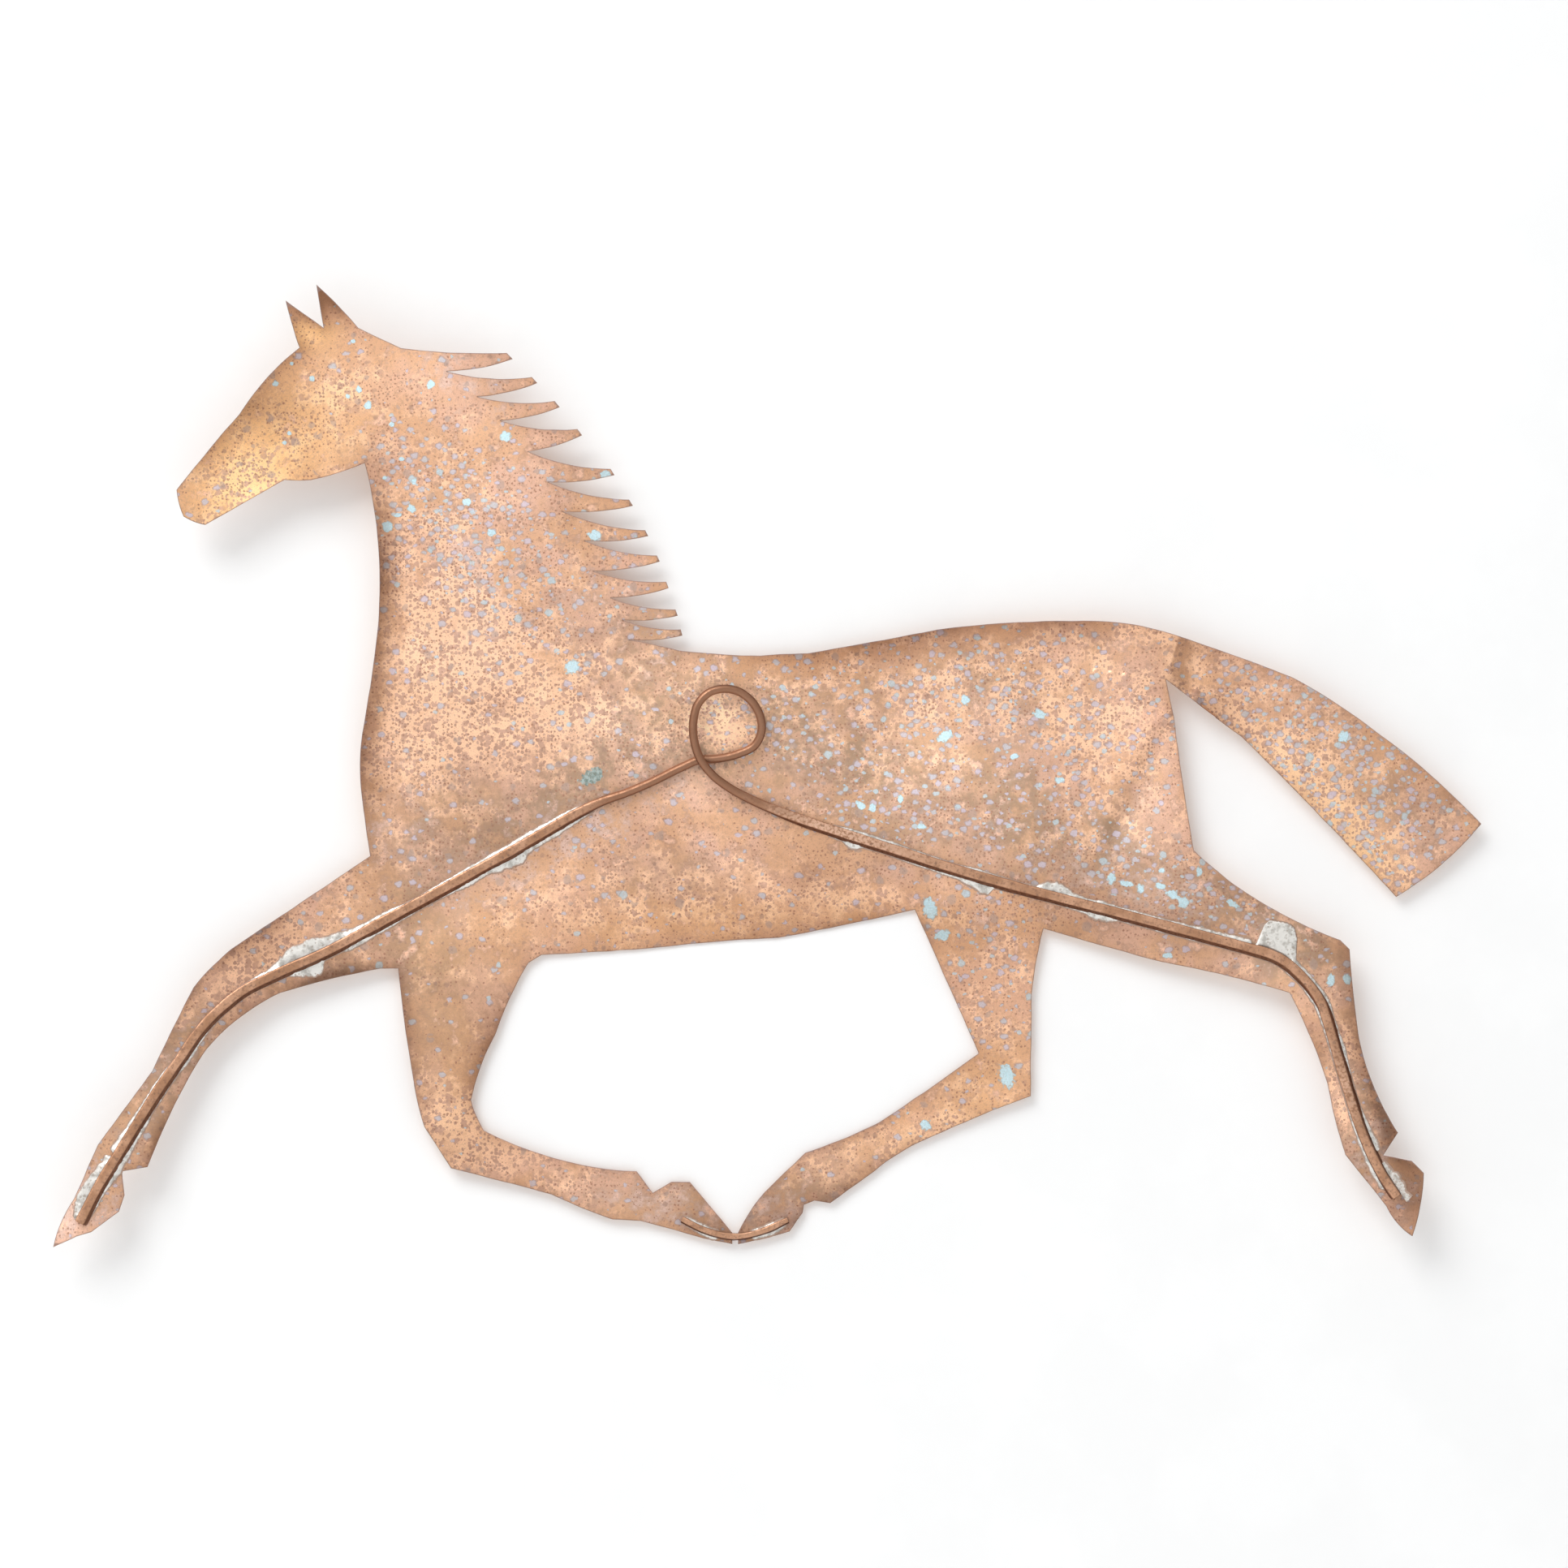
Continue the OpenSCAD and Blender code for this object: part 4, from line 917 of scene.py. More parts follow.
def circle(count, start):
    """Cosines and sines of points evenly spaced round a circle."""
    t = np.arange(count) / count * 2 * math.pi + start
    return np.cos(t), np.sin(t)


def patch_points(cx, cz, half_w, half_h, turn):
    """Mesh points in rings that let a small patch keep its shape."""
    c, s = math.cos(math.radians(turn)), math.sin(math.radians(turn))
    out = []
    for share, count in ((0.0, 1), (0.5, 6), (1.0, 12), (1.45, 15)):
        u, v = circle(count, share)
        u, v = share * half_w * u, share * half_h * v
        out.append(np.stack([cx + u * c - v * s, cz + u * s + v * c], axis=1))
    return np.vstack(out)


def inside(ring, pts):
    hits = np.zeros(len(pts), int)
    for (ax, az), (bx, bz) in zip(ring, np.roll(ring, -1, axis=0)):
        cross = (az > pts[:, 1]) != (bz > pts[:, 1])
        if cross.any():
            hits += cross & (ax + (pts[:, 1] - az) / (bz - az) * (bx - ax) > pts[:, 0])
    return hits % 2 == 1


def clear_of(others, points, gap):
    """The points that lie further than gap from all the others."""
    return points[nearest(tree_of(others), points[:, 0], points[:, 1]) > gap]


def fold_crease(ring):
    """Points along the tail's fold, and the outline points where it starts and ends."""
    count = int(np.linalg.norm(FOLD_TOP - FOLD_BOTTOM) / OUTLINE_STEP)
    top = int(np.argmin(np.linalg.norm(ring - FOLD_TOP, axis=1)))
    bottom = int(np.argmin(np.linalg.norm(ring - FOLD_BOTTOM, axis=1)))
    share = (np.arange(1, count) / count)[:, None]
    return ring[top] + (ring[bottom] - ring[top]) * share, top, bottom


def lattice(ring):
    """Points in staggered rows, cut to the inside of the outline and shaken a little."""
    margin = 0.5
    following = np.roll(ring, -1, axis=0)
    heights = np.arange(ring[:, 1].min() + margin, ring[:, 1].max(), LATTICE_STEP * 0.866)
    rows = []
    for row, z in enumerate(heights):
        crosses = (ring[:, 1] > z) != (following[:, 1] > z)
        a, b = ring[crosses], following[crosses]
        xs = np.sort(a[:, 0] + (z - a[:, 1]) / (b[:, 1] - a[:, 1]) * (b[:, 0] - a[:, 0]))
        grid = np.arange(-260 + (row % 2) * LATTICE_STEP / 2, 290, LATTICE_STEP)
        for x0, x1 in zip(xs[0::2], xs[1::2]):
            g = grid[(grid > x0 + margin) & (grid < x1 - margin)]
            rows.append(np.stack([g, np.full(len(g), z)], axis=1))
    points = np.vstack(rows)
    return points + np.random.default_rng(5).uniform(-0.16, 0.16, points.shape)


def finer_at_punch_dots(points):
    """The points without those near a punch dot, and the finer rings that replace them."""
    rings = []
    for px, pz in PUNCH:
        points = points[np.linalg.norm(points - (px, pz), axis=1) >= PUNCH_R + 1.0]
        for r in (0, 0.5, 1.0, 1.4, 1.7, PUNCH_R, 2.1, 2.5):
            c, s = circle(max(1, round(2 * math.pi * r / 0.5)), r)
            rings.append(np.stack([px + r * c, pz + r * s], axis=1))
    return points, rings


def finer_at_verdigris(ring, lines):
    """Points for the placed patches of verdigris, inside the outline and thinned."""
    points = np.vstack([patch_points(*b) for b in BLOBS + [TEAL]])
    points = clear_of(lines, points[inside(ring, points)], 0.4)
    thinned = []
    for p in points:
        if all(math.dist(p, q) > 0.25 for q in thinned[-120:]):
            thinned.append(p)
    return np.array(thinned)


def sheet_triangles(ring):
    """Points and triangles of the sheet, flat, as seen from the back."""
    crease, top, bottom = fold_crease(ring)
    lines = np.vstack([ring, crease])
    inner, dots = finer_at_punch_dots(lattice(ring))
    verdigris = finer_at_verdigris(ring, lines)
    inner = clear_of(lines, clear_of(verdigris, inner, 0.55), 0.62)
    points = np.vstack([lines, inner] + dots + [verdigris])

    n = len(ring)
    chain = [top] + list(range(n, n + len(crease))) + [bottom]
    fold = list(zip(chain[:-1], chain[1:]))
    found = delaunay_2d_cdt([tuple(p) for p in points], fold, [list(range(n))], 1, 1e-4)
    pts = np.array([tuple(v) for v in found[0]])
    tris = np.array([tuple(f) for f in found[2]])
    a, b, c = pts[tris[:, 0]], pts[tris[:, 1]], pts[tris[:, 2]]
    area = (b[:, 0] - a[:, 0]) * (c[:, 1] - a[:, 1]) - (b[:, 1] - a[:, 1]) * (c[:, 0] - a[:, 0])
    tris[area < 0] = tris[area < 0][:, ::-1]
    return pts, tris[np.abs(area) > 1e-5]


def sheet_faces(tris, count):
    """Triangles of both faces of the sheet, and the walls that join them at its edge."""
    edges = np.sort(np.vstack([tris[:, [0, 1]], tris[:, [1, 2]], tris[:, [2, 0]]]), axis=1)
    uniq, times = np.unique(edges, axis=0, return_counts=True)
    border = {tuple(e) for e in uniq[times == 1]}
    walls = []
    for t in tris:
        for i in range(3):
            p, q = int(t[i]), int(t[(i + 1) % 3])
            if (min(p, q), max(p, q)) in border:
                walls.append((q, p, p + count, q + count))
    faces = [tuple(map(int, t)) for t in tris]
    faces += [(int(t[0]) + count, int(t[2]) + count, int(t[1]) + count) for t in tris]
    return faces, walls


def over_rod(x, z):
    """1 above the brace rod and 0 below it."""
    order = np.argsort(ROD[:, 0])
    return smoothstep(-1, 1, z - np.interp(x, ROD[order, 0], ROD[order, 1]))


# Painted shade and painted light over the copper's own tone, for the braced back
def tone_of_back(x, z, edge, rod):
    painted_light_and_tone = BACK_TONE + patches(x, z, PAINTED_LIGHT_PATCHES)
    painted_light_and_tone += 0.10 * layered_noise(x, z, 26, 61, 3) + 0.10 * layered_noise(x, z, 10, 65, 2)
    # Painted shade and darker patina in bands along the edge, and a thin band right at it
    for cx, cz, reach, amount, wide in EDGE_SHADE_AND_PATINA:
        near = np.exp(-(((x - cx) ** 2 + (z - cz) ** 2) / reach**2))
        painted_light_and_tone -= amount * near * (1 - smoothstep(-0.2 * wide, 1.4 * wide, edge))
    painted_light_and_tone -= 0.05 * (1 - smoothstep(0.0, 2.2, edge))
    # Painted shade beside the raised rod, and more beside the hoof tie, where flux and heat have also
    # darkened the copper
    painted_light_and_tone -= 0.05 * (1 - smoothstep(3, 11, rod))
    tie = nearest(tree_of(TIE[:, :2]), x, z)
    painted_light_and_tone -= 0.14 * (1 - smoothstep(1.5, 3.5, tie))
    # The fold at the tail's root lies in its own shade
    painted_light_and_tone -= np.where(in_tail(x, z), 0.42 * np.exp(-past_fold(x, z) / 4.0), 0)
    return np.clip(painted_light_and_tone, 0.4, 1.4)


def back_values(x, z, edge, rod, upper):
    """What the material reads on the braced back, one number per point for each name."""
    def field(start, rows, amount, size, seed, octaves, top=1.0):
        noise = amount * layered_noise(x, z, size, seed, octaves)
        return np.clip(start + patches(x, z, rows) + noise, 0, top)

    # Flux has left a brown band beside the rod, with blotches and no bright network
    reach = rod + 2.5 * layered_noise(x, z, 12, 131, 2)
    stretch = smoothstep(28, 48, x) * (1 - smoothstep(168, 190, x))
    stretch += smoothstep(-134, -122, x) * (1 - smoothstep(-48, -38, x))
    flux = stretch * (0.35 + 0.65 * over_rod(x, z)) * (1 - smoothstep(10, 13.5, reach))
    net = field(0.22, NETS, 0.15, 26, 81, 3)
    spots = field(0.45, SPOTS, 0.2, 24, 91, 3)
    olive = field(0.04, OLIVES, 0.22, 20, 99, 3, MOST_OLIVE)
    return {
        "painted_light_and_tone": tone_of_back(x, z, edge, rod) + 0.07 * flux,
        "painted_gold_sheen": field(0, GOLD_SHEEN_PATCHES, 0.10, 30, 71, 2),
        "orange": field(0, ORANGES, 0.12, 24, 75, 2),
        "wear": field(0, WEARS, 0.10, 20, 77, 2),
        "clean": np.clip(patches(x, z, CLEANS), 0, 1),
        "olive": np.clip(olive + 0.30 * flux, 0, MOST_OLIVE),
        "spots": np.clip(spots + 0.35 * flux, 0, 1),
        "net": np.clip(net - 0.85 * flux, 0, 1),
        "green": field(0.16, GREENS, 0.12, 18, 95, 3),
        "blob": blob_field(x, z, BLOBS),
        "teal": blob_field(x, z, [TEAL]),
        "edge": edge,
        "upper": upper,
    }


def front_values(x, z, edge, upper):
    """The same for the plain face, which has weathered without the marks of soldering."""
    def field(start, amount, size, seed, octaves=3):
        return start + amount * layered_noise(x, z, size, seed, octaves)

    return {
        # Painted shade along the edge, as on the back
        "painted_light_and_tone": field(0.97, 0.09, 34, 301) - 0.16 * (1 - smoothstep(0, 8, edge)),
        "painted_gold_sheen": field(0.25, 0.3, 34, 301),
        "orange": field(0.35, 0.5, 40, 311, 2),
        "wear": field(0.2, 0.5, 30, 321),
        "clean": np.zeros_like(x),
        "olive": field(0.25, 0.5, 28, 331),
        "spots": field(0.5, 0.3, 22, 341),
        "net": field(0.35, 0.55, 32, 351),
        "green": field(0.35, 0.6, 26, 361),
        "blob": blob_field(x, z, []),
        "teal": blob_field(x, z, []),
        "edge": edge,
        "upper": upper,
    }


def build_sheet():
    ring = sheet_outline()
    pts, tris = sheet_triangles(ring)
    x, z = pts[:, 0], pts[:, 1]
    edge, near_i = nearest(tree_of(ring), x, z, True)
    along = np.roll(ring, -1, axis=0) - np.roll(ring, 1, axis=0)
    along /= np.linalg.norm(along, axis=1)[:, None]
    # Outward direction of a clockwise outline, against a light from the upper left: it sets the rim
    # line's painted highlight and painted shade
    upper = np.clip(0.5 + 0.9 * (-0.45 * -along[:, 1] + 0.89 * along[:, 0]), 0, 1)[near_i]
    rod = nearest(tree_of(np.vstack([ROD[:, :2], TIE[:, :2]])), x, z)
    y = dish_y(x, z) - relief(x, z, edge, rod)
    back = np.stack([x, y, z], axis=1)
    front = np.stack([x, y + SHEET, z], axis=1)
    faces, walls = sheet_faces(tris, len(pts))
    on_back, on_front = back_values(x, z, edge, rod, upper), front_values(x, z, edge, upper)
    values = {k: np.clip(np.concatenate([v, on_front[k]]), 0, HIGHEST) for k, v in on_back.items()}
    is_wall = [0] * len(faces) + [1] * len(walls)
    obj = make_object(
        "copper_horse_sheet", np.vstack([back, front]), faces + walls, [SHEET_MAT, EDGE_MAT],
        values, face_slots=is_wall, sharp=is_wall,
    )
    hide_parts("horse_sheet")


# ---------------------------------------------------------------- swept pieces
def tube(rings):
    """Corners and faces of a closed tube through rings of equal size."""
    count, sides = len(rings), len(rings[0])
    faces = []
    for i in range(count - 1):
        for j in range(sides):
            a, b = i * sides + j, i * sides + (j + 1) % sides
            faces.append((a, a + sides, b + sides, b))
    faces.append(tuple(range(sides)))
    faces.append(tuple((count - 1) * sides + j for j in reversed(range(sides))))
    return np.vstack(rings), faces


# Cross-section of the hammered rod, from the lit side over the top: across, height, painted light
FLAT_SECTION = [
    (1.00, 0.45, 0.1), (1.00, 0.65, 0.4), (0.97, 0.83, 0.8), (0.90, 0.94, 1), (0.78, 0.99, 1),
    (0.58, 1.00, 1), (0.34, 1.00, 1), (0.10, 1.00, 1), (-0.12, 0.99, 1), (-0.30, 0.97, 1),
    (-0.43, 0.90, 0.75), (-0.51, 0.76, 0.2), (-0.60, 0.58, 0), (-0.74, 0.40, 0),
    (-0.90, 0.27, 0), (-1.00, 0.15, 0), (-0.96, 0.05, 0), (-0.80, 0.00, 0), (-0.40, 0.00, 0),
    (0.00, 0.00, 0), (0.40, 0.00, 0), (0.80, 0.00, 0), (0.95, 0.08, 0), (1.00, 0.25, 0),
]
# The round section gets painted light on its upper lit side and painted shade below it
ROUND_SECTION = [
    (math.cos(a), 0.5 + 0.5 * math.sin(a), 0.75 * float(smoothstep(-0.35, 0.5, math.sin(a + 0.5))))
    for a in (math.radians(15 * j - 7.5) for j in range(24))
]
# The hammered section with its dark flank of painted shade on the other side, corner for corner
HALF_TURN = 13
MIRRORED = [
    (-FLAT_SECTION[(HALF_TURN - j) % 24][0], *FLAT_SECTION[(HALF_TURN - j) % 24][1:]) for j in range(24)
]
LIGHT_SIDE = np.array([-0.51, 0.86])  # across the rod, towards the light, in x and z


def rod_ring(spot, out, half_w, height, flat, shift, dent):
    """One ring of a rod: corners round the section, and how much painted light each corner gets from
    the side it faces.
    """
    x, z, gap = spot
    foot = float(dish_y(x, z)) - FILM - max(0.0, gap)
    lit_side = float(smoothstep(-0.30, 0.35, out @ LIGHT_SIDE))
    ring, section_painted_light = [], []
    for plain, mirrored, (ra, rh, rs) in zip(FLAT_SECTION, MIRRORED, ROUND_SECTION):
        fa, fh, fs = (lit_side * p + (1 - lit_side) * m for p, m in zip(plain, mirrored))
        a, h, lit = (flat * f + (1 - flat) * r for f, r in ((fa, ra), (fh, rh), (fs, rs)))
        across = a * half_w + shift
        up = h * height - (dent * (1 + 0.4 * a) if h > 0.85 else 0)
        ring.append((x + out[0] * across, foot - up, z + out[1] * across))
        section_painted_light.append(lit)
    return ring, section_painted_light


def build_rod():
    side = left_normals(ROD)
    wob, wob2, wob3 = (
        value_noise(ROD_S, 0 * ROD_S + 9 * i, size, 31 + i)
        for i, size in enumerate((7.0, 2.6, 11.0))
    )
    rings, rod_painted_light, roundness = [], [], []
    for i, (x, z, gap, flat) in enumerate(ROD):
        flat = min(1.0, max(0.0, flat))
        half_w = (1 - flat) * ROD_D / 2 + flat * (FLAT_W / 2 + 0.10 * wob[i] + 0.05 * wob2[i])
        height = (1 - flat) * ROD_D + flat * FLAT_H
        # The sawn ends have lost their corners
        end = min(ROD_S[i], ROD_S[-1] - ROD_S[i])
        half_w *= 1 - 0.10 * (1 - min(1.0, end / 0.8)) ** 2
        dent = flat * (0.07 + 0.09 * wob2[i] + 0.05 * wob[i])
        ring, section_painted_light = rod_ring((x, z, gap), side[i], half_w, height, flat, 0.10 * wob3[i] * flat, dent)
        rings.append(ring)
        rod_painted_light += section_painted_light
        roundness += [1 - flat] * len(section_painted_light)
    verts, faces = tube(rings)
    rubbed = np.exp(-(((ROD[:, 0] - 42) / 26) ** 2)) + 0.7 * np.exp(-(((ROD[:, 0] - 233) / 4) ** 2))
    rubbed *= np.arange(len(ROD)) > AFTER_LOOP
    values = {"rod_painted_light": rod_painted_light, "round": roundness, "rubbed": np.repeat(rubbed, len(rings[0]))}
    obj = make_object("brace_rod_hammered", verts, faces, [ROD_MAT], values)
    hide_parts("brace_rod")
    mark_ends(obj)


def build_tie():
    side = left_normals(TIE)
    wob = value_noise(TIE_S, 0 * TIE_S, 4.0, 41)
    rings, rod_painted_light = [], []
    for i, (x, z) in enumerate(TIE[:, :2]):
        end = min(TIE_S[i], TIE_S[-1] - TIE_S[i])
        half_w = TIE_W / 2 * (0.82 + 0.18 * min(1.0, end / 2.5)) + 0.08 * wob[i]
        height = (TIE_H - FILM) * (0.80 + 0.20 * min(1.0, end / 4.0))
        ring, section_painted_light = rod_ring((x, z, 0.0), side[i], half_w, height, 0.9, 0.0, 0.08 * abs(wob[i]))
        rings.append(ring)
        rod_painted_light += section_painted_light
    verts, faces = tube(rings)
    obj = make_object("hoof_tie_flattened", verts, faces, [ROD_MAT], {"rod_painted_light": rod_painted_light})
    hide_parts("hoof_tie")
    mark_ends(obj)


def mark_ends(obj):
    """The two flat ends of a rod are the only faces with more than four corners."""
    sharpen(obj.data, [len(p.vertices) > 4 for p in obj.data.polygons])


# ---------------------------------------------------------------- solder
def part_of(route, x0, x1, start, extend=0.0):
    """The stretch of a route between two x values, run on past its end if asked."""
    run = []
    for i in range(start, len(route)):
        if x0 <= route[i, 0] <= x1:
            run.append(i)
        elif run:
            break
    r = route[run, :2]
    if extend:
        d = (r[-1] - r[-2]) / np.linalg.norm(r[-1] - r[-2])
        more = r[-1] + np.outer(np.arange(1, int(extend / 0.6) + 1) * 0.6, d)
        r = np.vstack([r, more])
    return resample(r, 0.55)[0]


def solder_strip(route, side, inner, widths, rise, seed, dull):
    """A run of solder beside a rod: a fillet that spreads over the sheet in a ragged edge.

    widths is a list of (x, width). inner is the distance from the route's middle to the
    soldered flank, rise the height where the solder meets it.
    """
    nrm = left_normals(route) * side
    w = np.interp(route[:, 0], [p[0] for p in widths], [p[1] for p in widths])
    s = np.concatenate([[0], np.cumsum(np.linalg.norm(np.diff(route, axis=0), axis=1))])
    rag = 0.20 * value_noise(s, 0 * s + 3, 2.6, seed) + 0.14 * value_noise(s, 0 * s + 5, 1.0, seed + 1)
    w = np.maximum(0.16, w + np.minimum(w, 2.5) * rag)
    taper = np.minimum(1, np.minimum(s, s[-1] - s) / 1.2 + 0.05)
    w = w * taper
    rings, dulls = [], []
    for i, (base, n) in enumerate(zip(route, nrm)):
        wide = smoothstep(1.2, 3.5, w[i])
        high = rise * (0.22 + 0.78 * min(1.0, w[i] / 2.0)) * (0.35 + 0.65 * taper[i])
        ring, dull_row = [], []
        for u in np.linspace(0, 1, 12):
            p = base + n * (inner - 0.25 + (w[i] + 0.25) * u)
            fillet = (1 - u) ** 1.7
            dome = max(0.0, 1 - u * u) * 0.45
            lump = value_noise(p[0], p[1], 1.5, seed + 2) + 0.5 * value_noise(p[0], p[1], 0.7, seed + 3)
            hgt = high * (fillet * (1 - wide) + dome * wide)
            hgt = max(0.02, hgt * (1 + 0.11 * lump * (1 - u * 0.4)) + 0.10 * wide * lump * (1 - u))
            if u == 1:
                hgt = 0.015
            ring.append((p[0], dish_y(p[0], p[1]) - FILM * 0.5 - hgt, p[1]))
            brown_from = max(0.45, 1 - 1.1 / max(w[i], 0.2))
            thin = 0.75 * float(smoothstep(brown_from, 1.0, u)) + 0.9 * (1 - min(1.0, w[i] / 0.9))
            dull_row.append(min(1.0, dull + thin))
        for u in (1.0, 0.5, 0.0):
            p = base + n * (inner - 0.25 + (w[i] + 0.25) * u - 0.02 * (u == 1))
            ring.append((p[0], dish_y(p[0], p[1]) - FILM * 0.5 + 0.05, p[1]))
            dull_row.append(dull)
        rings.append(ring if side > 0 else ring[::-1])
        dulls += dull_row if side > 0 else dull_row[::-1]
    verts, faces = tube(rings)
    return verts, faces, dulls


def build_solder(name, node, strips):
    verts, faces, dulls = [], [], []
    for strip_verts, strip_faces, strip_dulls in strips:
        first = len(dulls)
        verts.append(strip_verts)
        faces += [tuple(i + first for i in f) for f in strip_faces]
        dulls += strip_dulls
    obj = make_object(name, np.vstack(verts), faces, [SOLDER_MAT], {"dull": dulls})
    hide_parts(node)


# Widths of the solder: x along the rod, and how far it spreads from the rod
FORE_UPPER_W = [
    (-228, 2.2), (-224, 1.5), (-219, 0.9), (-214, 0.9), (-209, 0.7), (-206, 0.3), (-198, 0.2),
    (-193, 0.2), (-185, 0.2), (-179, 0.3), (-172, 1.2), (-168, 2.2), (-163, 4.6), (-158, 5.8),
    (-152, 5.0), (-147, 3.2), (-142, 1.8), (-135, 1.2), (-128, 1.2), (-122, 0.7), (-115, 0.3),
    (-105, 0.8), (-95, 1.0), (-85, 1.3), (-75, 1.4), (-65, 1.2), (-58, 0.8), (-54, 0.2),
]
FORE_LOWER_W = [
    (-240, 0.4), (-236, 0.8), (-233, 1.6), (-231, 2.4), (-228, 1.8), (-224, 1.2), (-221, 1.4),
    (-218, 0.6), (-208, 0.5), (-203, 1.2), (-198, 0.6), (-190, 0.2), (-175, 0.2), (-166, 0.3),
    (-162, 2.2), (-158, 4.6), (-155, 4.4), (-152.5, 0.5), (-146, 0.4), (-143, 1.4),
    (-137, 1.3), (-130, 1.0), (-122, 0.6), (-112, 0.5), (-105, 0.8), (-98, 1.4), (-92, 1.2),
    (-88, 2.2), (-84, 3.6), (-80, 3.8), (-77, 2.0), (-72, 1.2), (-66, 1.2), (-60, 1.0), (-51, 0.3),
]
HIND_UPPER_W = [
    (38, 0.3), (45, 0.9), (52, 1.1), (60, 0.9), (70, 0.7), (80, 0.6), (86, 0.3), (93, 0.8),
    (102, 0.6), (110, 0.3), (116, 0.6), (119, 3.0), (123, 4.2), (127, 3.0), (131, 1.4),
    (136, 0.8), (140, 1.2), (148, 0.9), (156, 0.8), (165, 0.7), (172, 0.9), (180, 1.1),
    (186, 1.4), (192, 1.5), (197, 1.7),
]
HOCK_W = [
    (198, 0.9), (198.8, 2.5), (199.6, 8.5), (200.8, 10.6), (203, 11.2), (205.5, 11.6), (207.5, 11.0),
    (209, 8.8), (210, 6), (211, 3.4), (212, 1.6), (214, 1.0), (217, 1.0),
]
SHIN_W = [
    (216, 1.2), (220, 1.2), (224, 1.0), (226, 0.5), (228, 0.7), (229.5, 1.2), (231, 0.7),
    (234, 0.3), (237, 0.8), (239, 1.4), (241.5, 2.0),
]
HIND_LOWER_W = [
    (38, 0.3), (44, 0.5), (47, 2.2), (50, 2.6), (52, 0.6), (58, 0.3), (62, 0.5), (68, 0.8),
    (75, 0.7), (82, 0.8), (88, 1.1), (92, 2.2), (97, 3.4), (100, 3.4), (101.5, 0.6),
    (110, 0.2), (120, 0.2), (126, 0.4), (135, 0.9), (140, 2.6), (144, 2.2), (148, 0.6),
    (155, 0.4), (163, 0.7), (170, 0.6), (178, 0.6), (186, 0.4), (195, 0.3), (205, 0.4),
    (212, 0.6), (218, 0.6), (222, 1.1), (225.5, 0.9), (228, 0.7), (231, 0.5), (235, 0.5),
    (238, 0.9), (241, 1.2), (244, 1.6), (247, 1.4), (249, 0.8),
]
FORE_POOL_W = [
    (-241.5, 1.6), (-239, 3.4), (-237, 4.2), (-235, 3.6), (-233, 3.0), (-231, 2.6),
    (-228.5, 2.3),
]
HIND_POOL_W = [(243, 0.8), (245, 2.2), (247, 3.6), (249, 3.7), (250.6, 2.6), (252.5, 3.2), (254, 1.6)]


def build_all_solder():
    up, down = 1, -1
    flank, tie_flank = FLAT_W / 2 - 0.05, TIE_W / 2 - 0.05
    # Name, node, x span, first point of the rod, run past its end, side, widths, rise, seed, dull
    for name, node, x0, x1, first, extend, side, widths, rise, seed, dull in (
        ("fore_upper", "fore_seam_upper", -228, -53, 0, 0, up, FORE_UPPER_W, 1.0, 101, 0.0),
        ("fore_lower", "fore_seam_lower", -240, -50.7, 0, 0, down, FORE_LOWER_W, 0.9, 111, 0.1),
        ("hind_upper", "hind_seam_upper", 38, 197.5, AFTER_LOOP, 0, up, HIND_UPPER_W, 0.9, 121, 0.05),
        ("hind_lower", "hind_seam_lower", 38, 248.6, AFTER_LOOP, 0, down, HIND_LOWER_W, 0.8, 131, 0.15),
        ("hind_shin", "hind_shin_seam", 214.5, 242, AFTER_LOOP, 0, up, SHIN_W, 0.9, 141, 0.1),
        ("fore_hoof", "fore_hoof_pool", -241.4, -228.2, 0, 0, up, FORE_POOL_W, 1.2, 151, 0.0),
        ("hock", "hock_pool", 197.8, 217, AFTER_LOOP, 0, up, HOCK_W, 1.25, 161, 0.0),
        ("hind_hoof", "hind_hoof_pool", 243, 251, AFTER_LOOP, 4.2, up, HIND_POOL_W, 1.0, 171, 0.30),
    ):
        stretch = part_of(ROD, x0, x1, first, extend)
        strip = solder_strip(stretch, side, flank, widths, rise, seed, dull)
        build_solder("solder_" + name, node, [strip])
    for name, node, x0, x1, above, below, seed in (
        ("fore", "fore_tie_seam", -17, -2.2, [(-17, 0.6), (-13, 1.0), (-8, 0.9), (-2, 0.5)],
         [(-17, 0.2), (-13, 0.5), (-9, 1.0), (-4, 1.2), (-2, 1.0)], 181),
        ("hind", "hind_tie_seam", 8, 22.6, [(8, 0.5), (13, 0.9), (18, 1.0), (23, 0.6)],
         [(8, 0.8), (12, 1.4), (17, 1.6), (20, 0.9), (23, 0.3)], 191),
    ):
        stretch = part_of(TIE, x0, x1, 0)
        build_solder("solder_tie_" + name, node, [
            solder_strip(stretch, up, tie_flank, above, 0.5, seed, 0.30),
            solder_strip(stretch, down, tie_flank, below, 0.4, seed + 4, 0.20),
        ])


build_sheet()
build_rod()
build_tie()
build_all_solder()


# ---------------------------------------------------------------- stage, light, camera
FLOOR_Z, FLOOR_HALF = -0.36, 8
BOARD_Y, BOARD_LEAN, BOARD_HALF = 0.0078, 0.038, 2.2
CAMERA_AWAY = 2.0  # from the sheet to the camera


def plane(name, corners, mat):
    mesh = bpy.data.meshes.new(name)
    mesh.from_pydata(corners, [], [(0, 1, 2, 3)])
    mesh.materials.append(mat)
    obj = bpy.data.objects.new(name, mesh)
    bpy.context.scene.collection.objects.link(obj)
    return obj


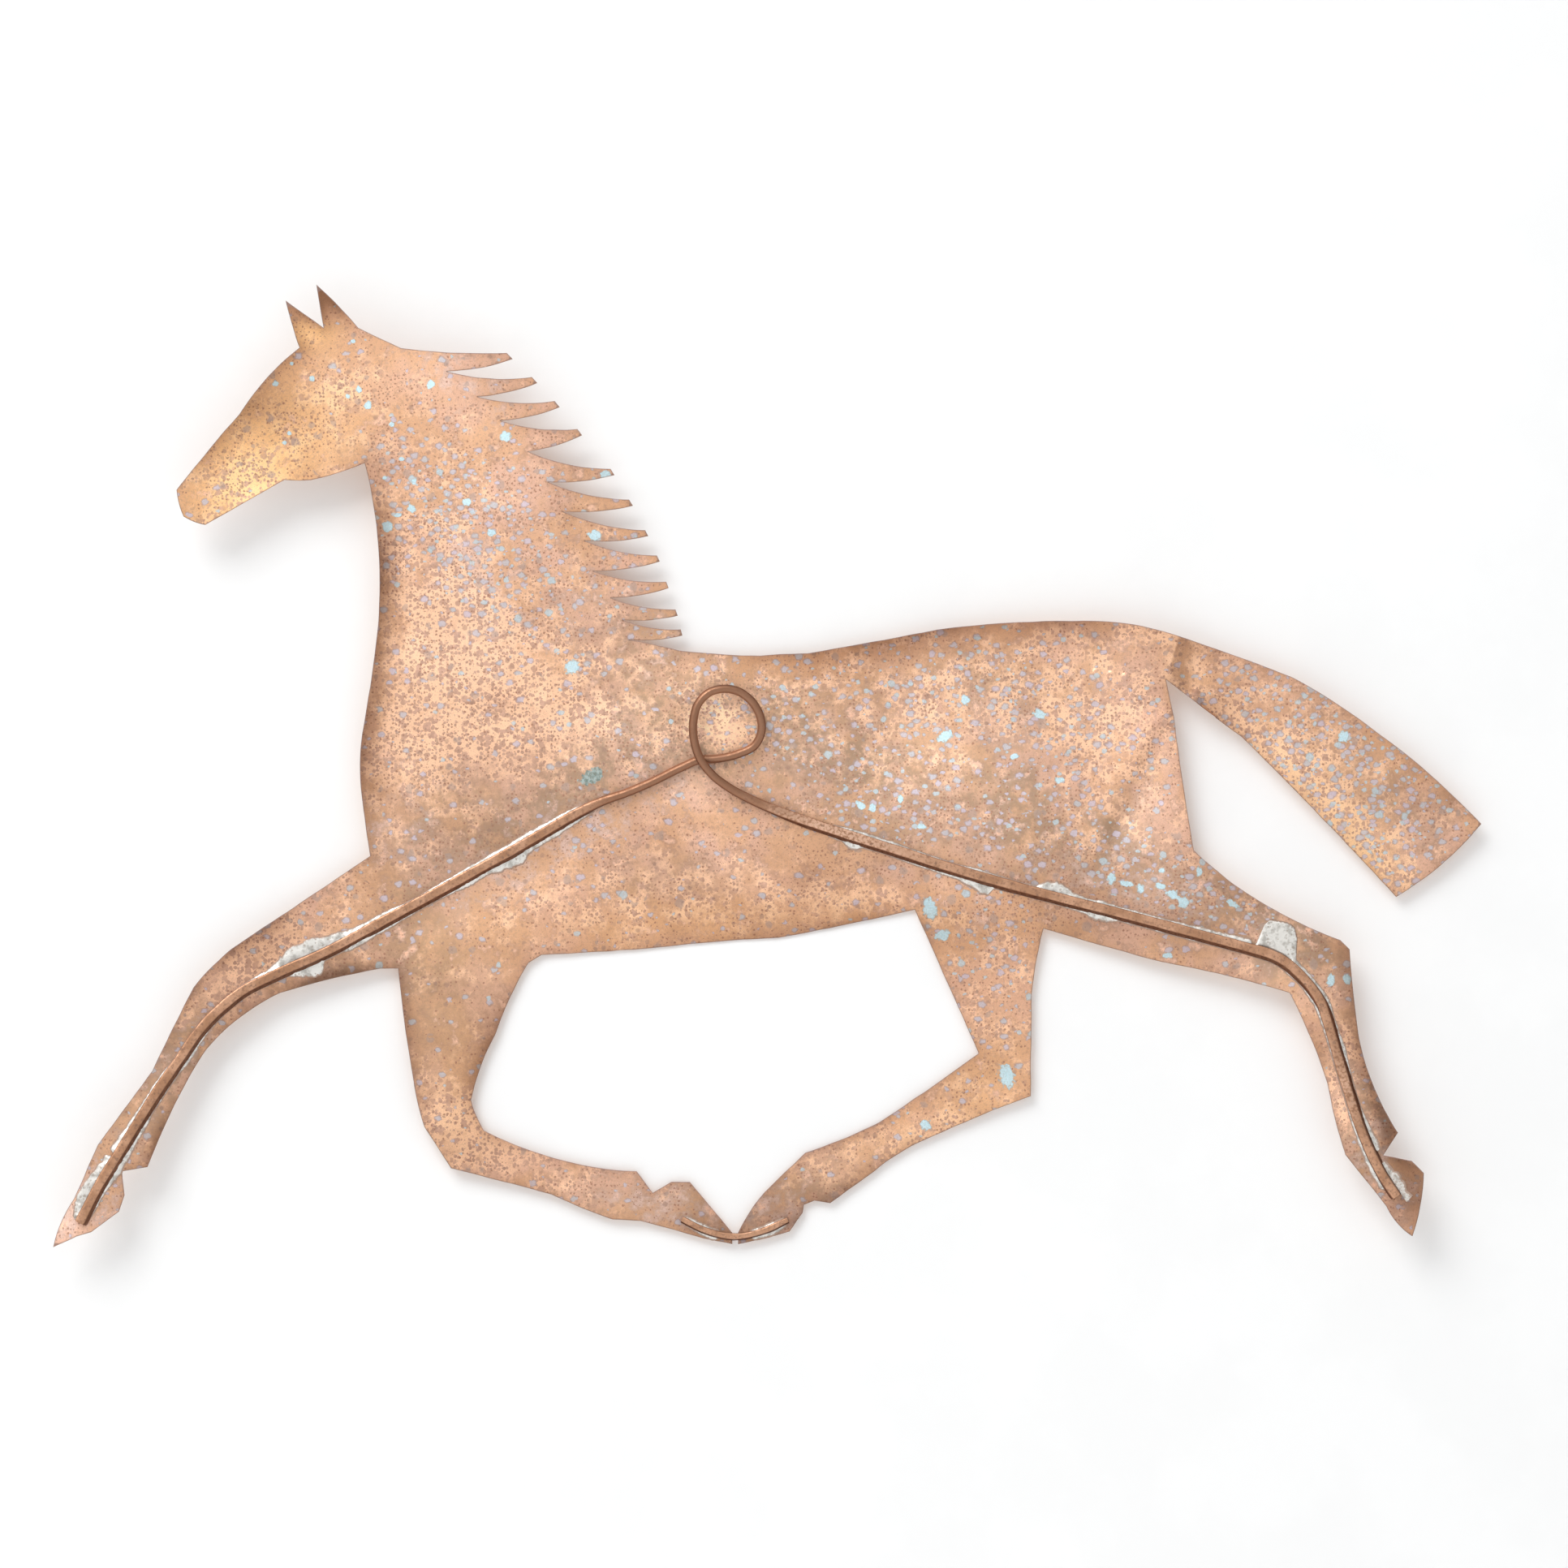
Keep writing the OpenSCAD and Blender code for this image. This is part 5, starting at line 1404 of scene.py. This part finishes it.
def pale_material(name, one_sided):
    """A pale matte surface. A one-sided one is clear from behind."""
    s = Shader(name)
    mm, _ = s.place()
    cloudy = s.step(s.noise(mm, 60, 4), 0.4, 0.6)
    colour = s.mix(cloudy, (0.868, 0.873, 0.876), (0.884, 0.889, 0.892))
    shader = s.node("ShaderNodeBsdfDiffuse", {"Color": colour}).outputs[0]
    if one_sided:
        clear = s.node("ShaderNodeBsdfTransparent").outputs[0]
        behind = s.node("ShaderNodeNewGeometry").outputs["Backfacing"]
        shader = s.node("ShaderNodeMixShader", {0: behind, 1: shader, 2: clear}).outputs[0]
    return s.output(shader)


def board_y(z):
    """The board leans back a little, so the head stands further off it than the hooves."""
    return BOARD_Y + BOARD_LEAN * z


foot_y, top_y = board_y(FLOOR_Z), board_y(BOARD_HALF)
board = plane("pale_board", [
    (-BOARD_HALF, foot_y, FLOOR_Z), (BOARD_HALF, foot_y, FLOOR_Z),
    (BOARD_HALF, top_y, BOARD_HALF), (-BOARD_HALF, top_y, BOARD_HALF),
], pale_material("pale_board", True))
board.visible_shadow = False
board.visible_diffuse = False
board.visible_glossy = False
board.visible_transmission = False
plane("pale_floor", [
    (x * FLOOR_HALF, y * FLOOR_HALF, FLOOR_Z) for x, y in ((-1, -1), (1, -1), (1, 1), (-1, 1))
], pale_material("pale_floor", False))


def area_light(name, place, size, power):
    """A round light, aimed at the origin."""
    data = bpy.data.lights.new(name, "AREA")
    data.shape = "DISK"
    data.size = size
    data.energy = power
    obj = bpy.data.objects.new(name, data)
    bpy.context.scene.collection.objects.link(obj)
    obj.location = place
    obj.rotation_mode = "QUATERNION"
    obj.rotation_quaternion = (-Vector(place)).to_track_quat("-Z", "Y")


area_light("key", (-0.95, -1.5, 1.6), 1.5, 29.5)
area_light("back_fill", (1.2, 1.9, 1.2), 1.2, 30)


def studio_world():
    """Soft light from the upper left, and an even, nearly white backdrop for the camera."""
    world = bpy.data.worlds.new("studio")
    bpy.context.scene.world = world
    world.use_nodes = True
    w = Nodes(world.node_tree)
    direction = w.node("ShaderNodeTexCoord").outputs["Generated"]
    brightest = (-0.55, -0.55, 0.63)
    facing = w.node("ShaderNodeVectorMath", {0: direction, 1: brightest}, operation="DOT_PRODUCT")
    light = w.node("ShaderNodeMapRange", {
        0: facing.outputs["Value"], 1: -1.0, 2: 1.0, 3: 0.40, 4: 0.84,
    }).outputs[0]
    seen = w.node("ShaderNodeLightPath").outputs["Is Camera Ray"]
    strength = w.node("ShaderNodeMix", {0: seen, 2: light, 3: 0.97}, data_type="FLOAT").outputs[0]
    background = w.node("ShaderNodeBackground", {0: (1.0, 0.997, 0.992), 1: strength})
    w.node("ShaderNodeOutputWorld", {0: background.outputs[0]})


studio_world()
scene = bpy.context.scene
scene.view_settings.view_transform = "Standard"
scene.view_settings.look = "None"
scene.view_settings.exposure = 0.0
scene.view_settings.gamma = 1.0

cam_data = bpy.data.cameras.new("camera")
cam = bpy.data.objects.new("camera", cam_data)
scene.collection.objects.link(cam)
scene.camera = cam
cam_data.sensor_width = 36.0
cam_data.lens = 121.4
cam_data.clip_start, cam_data.clip_end = 0.05, 30.0
cam.location = (0.0215, STAND_OFF * MM - CAMERA_AWAY, -0.0224)
cam.rotation_euler = (math.radians(90), 0.0, 0.0)
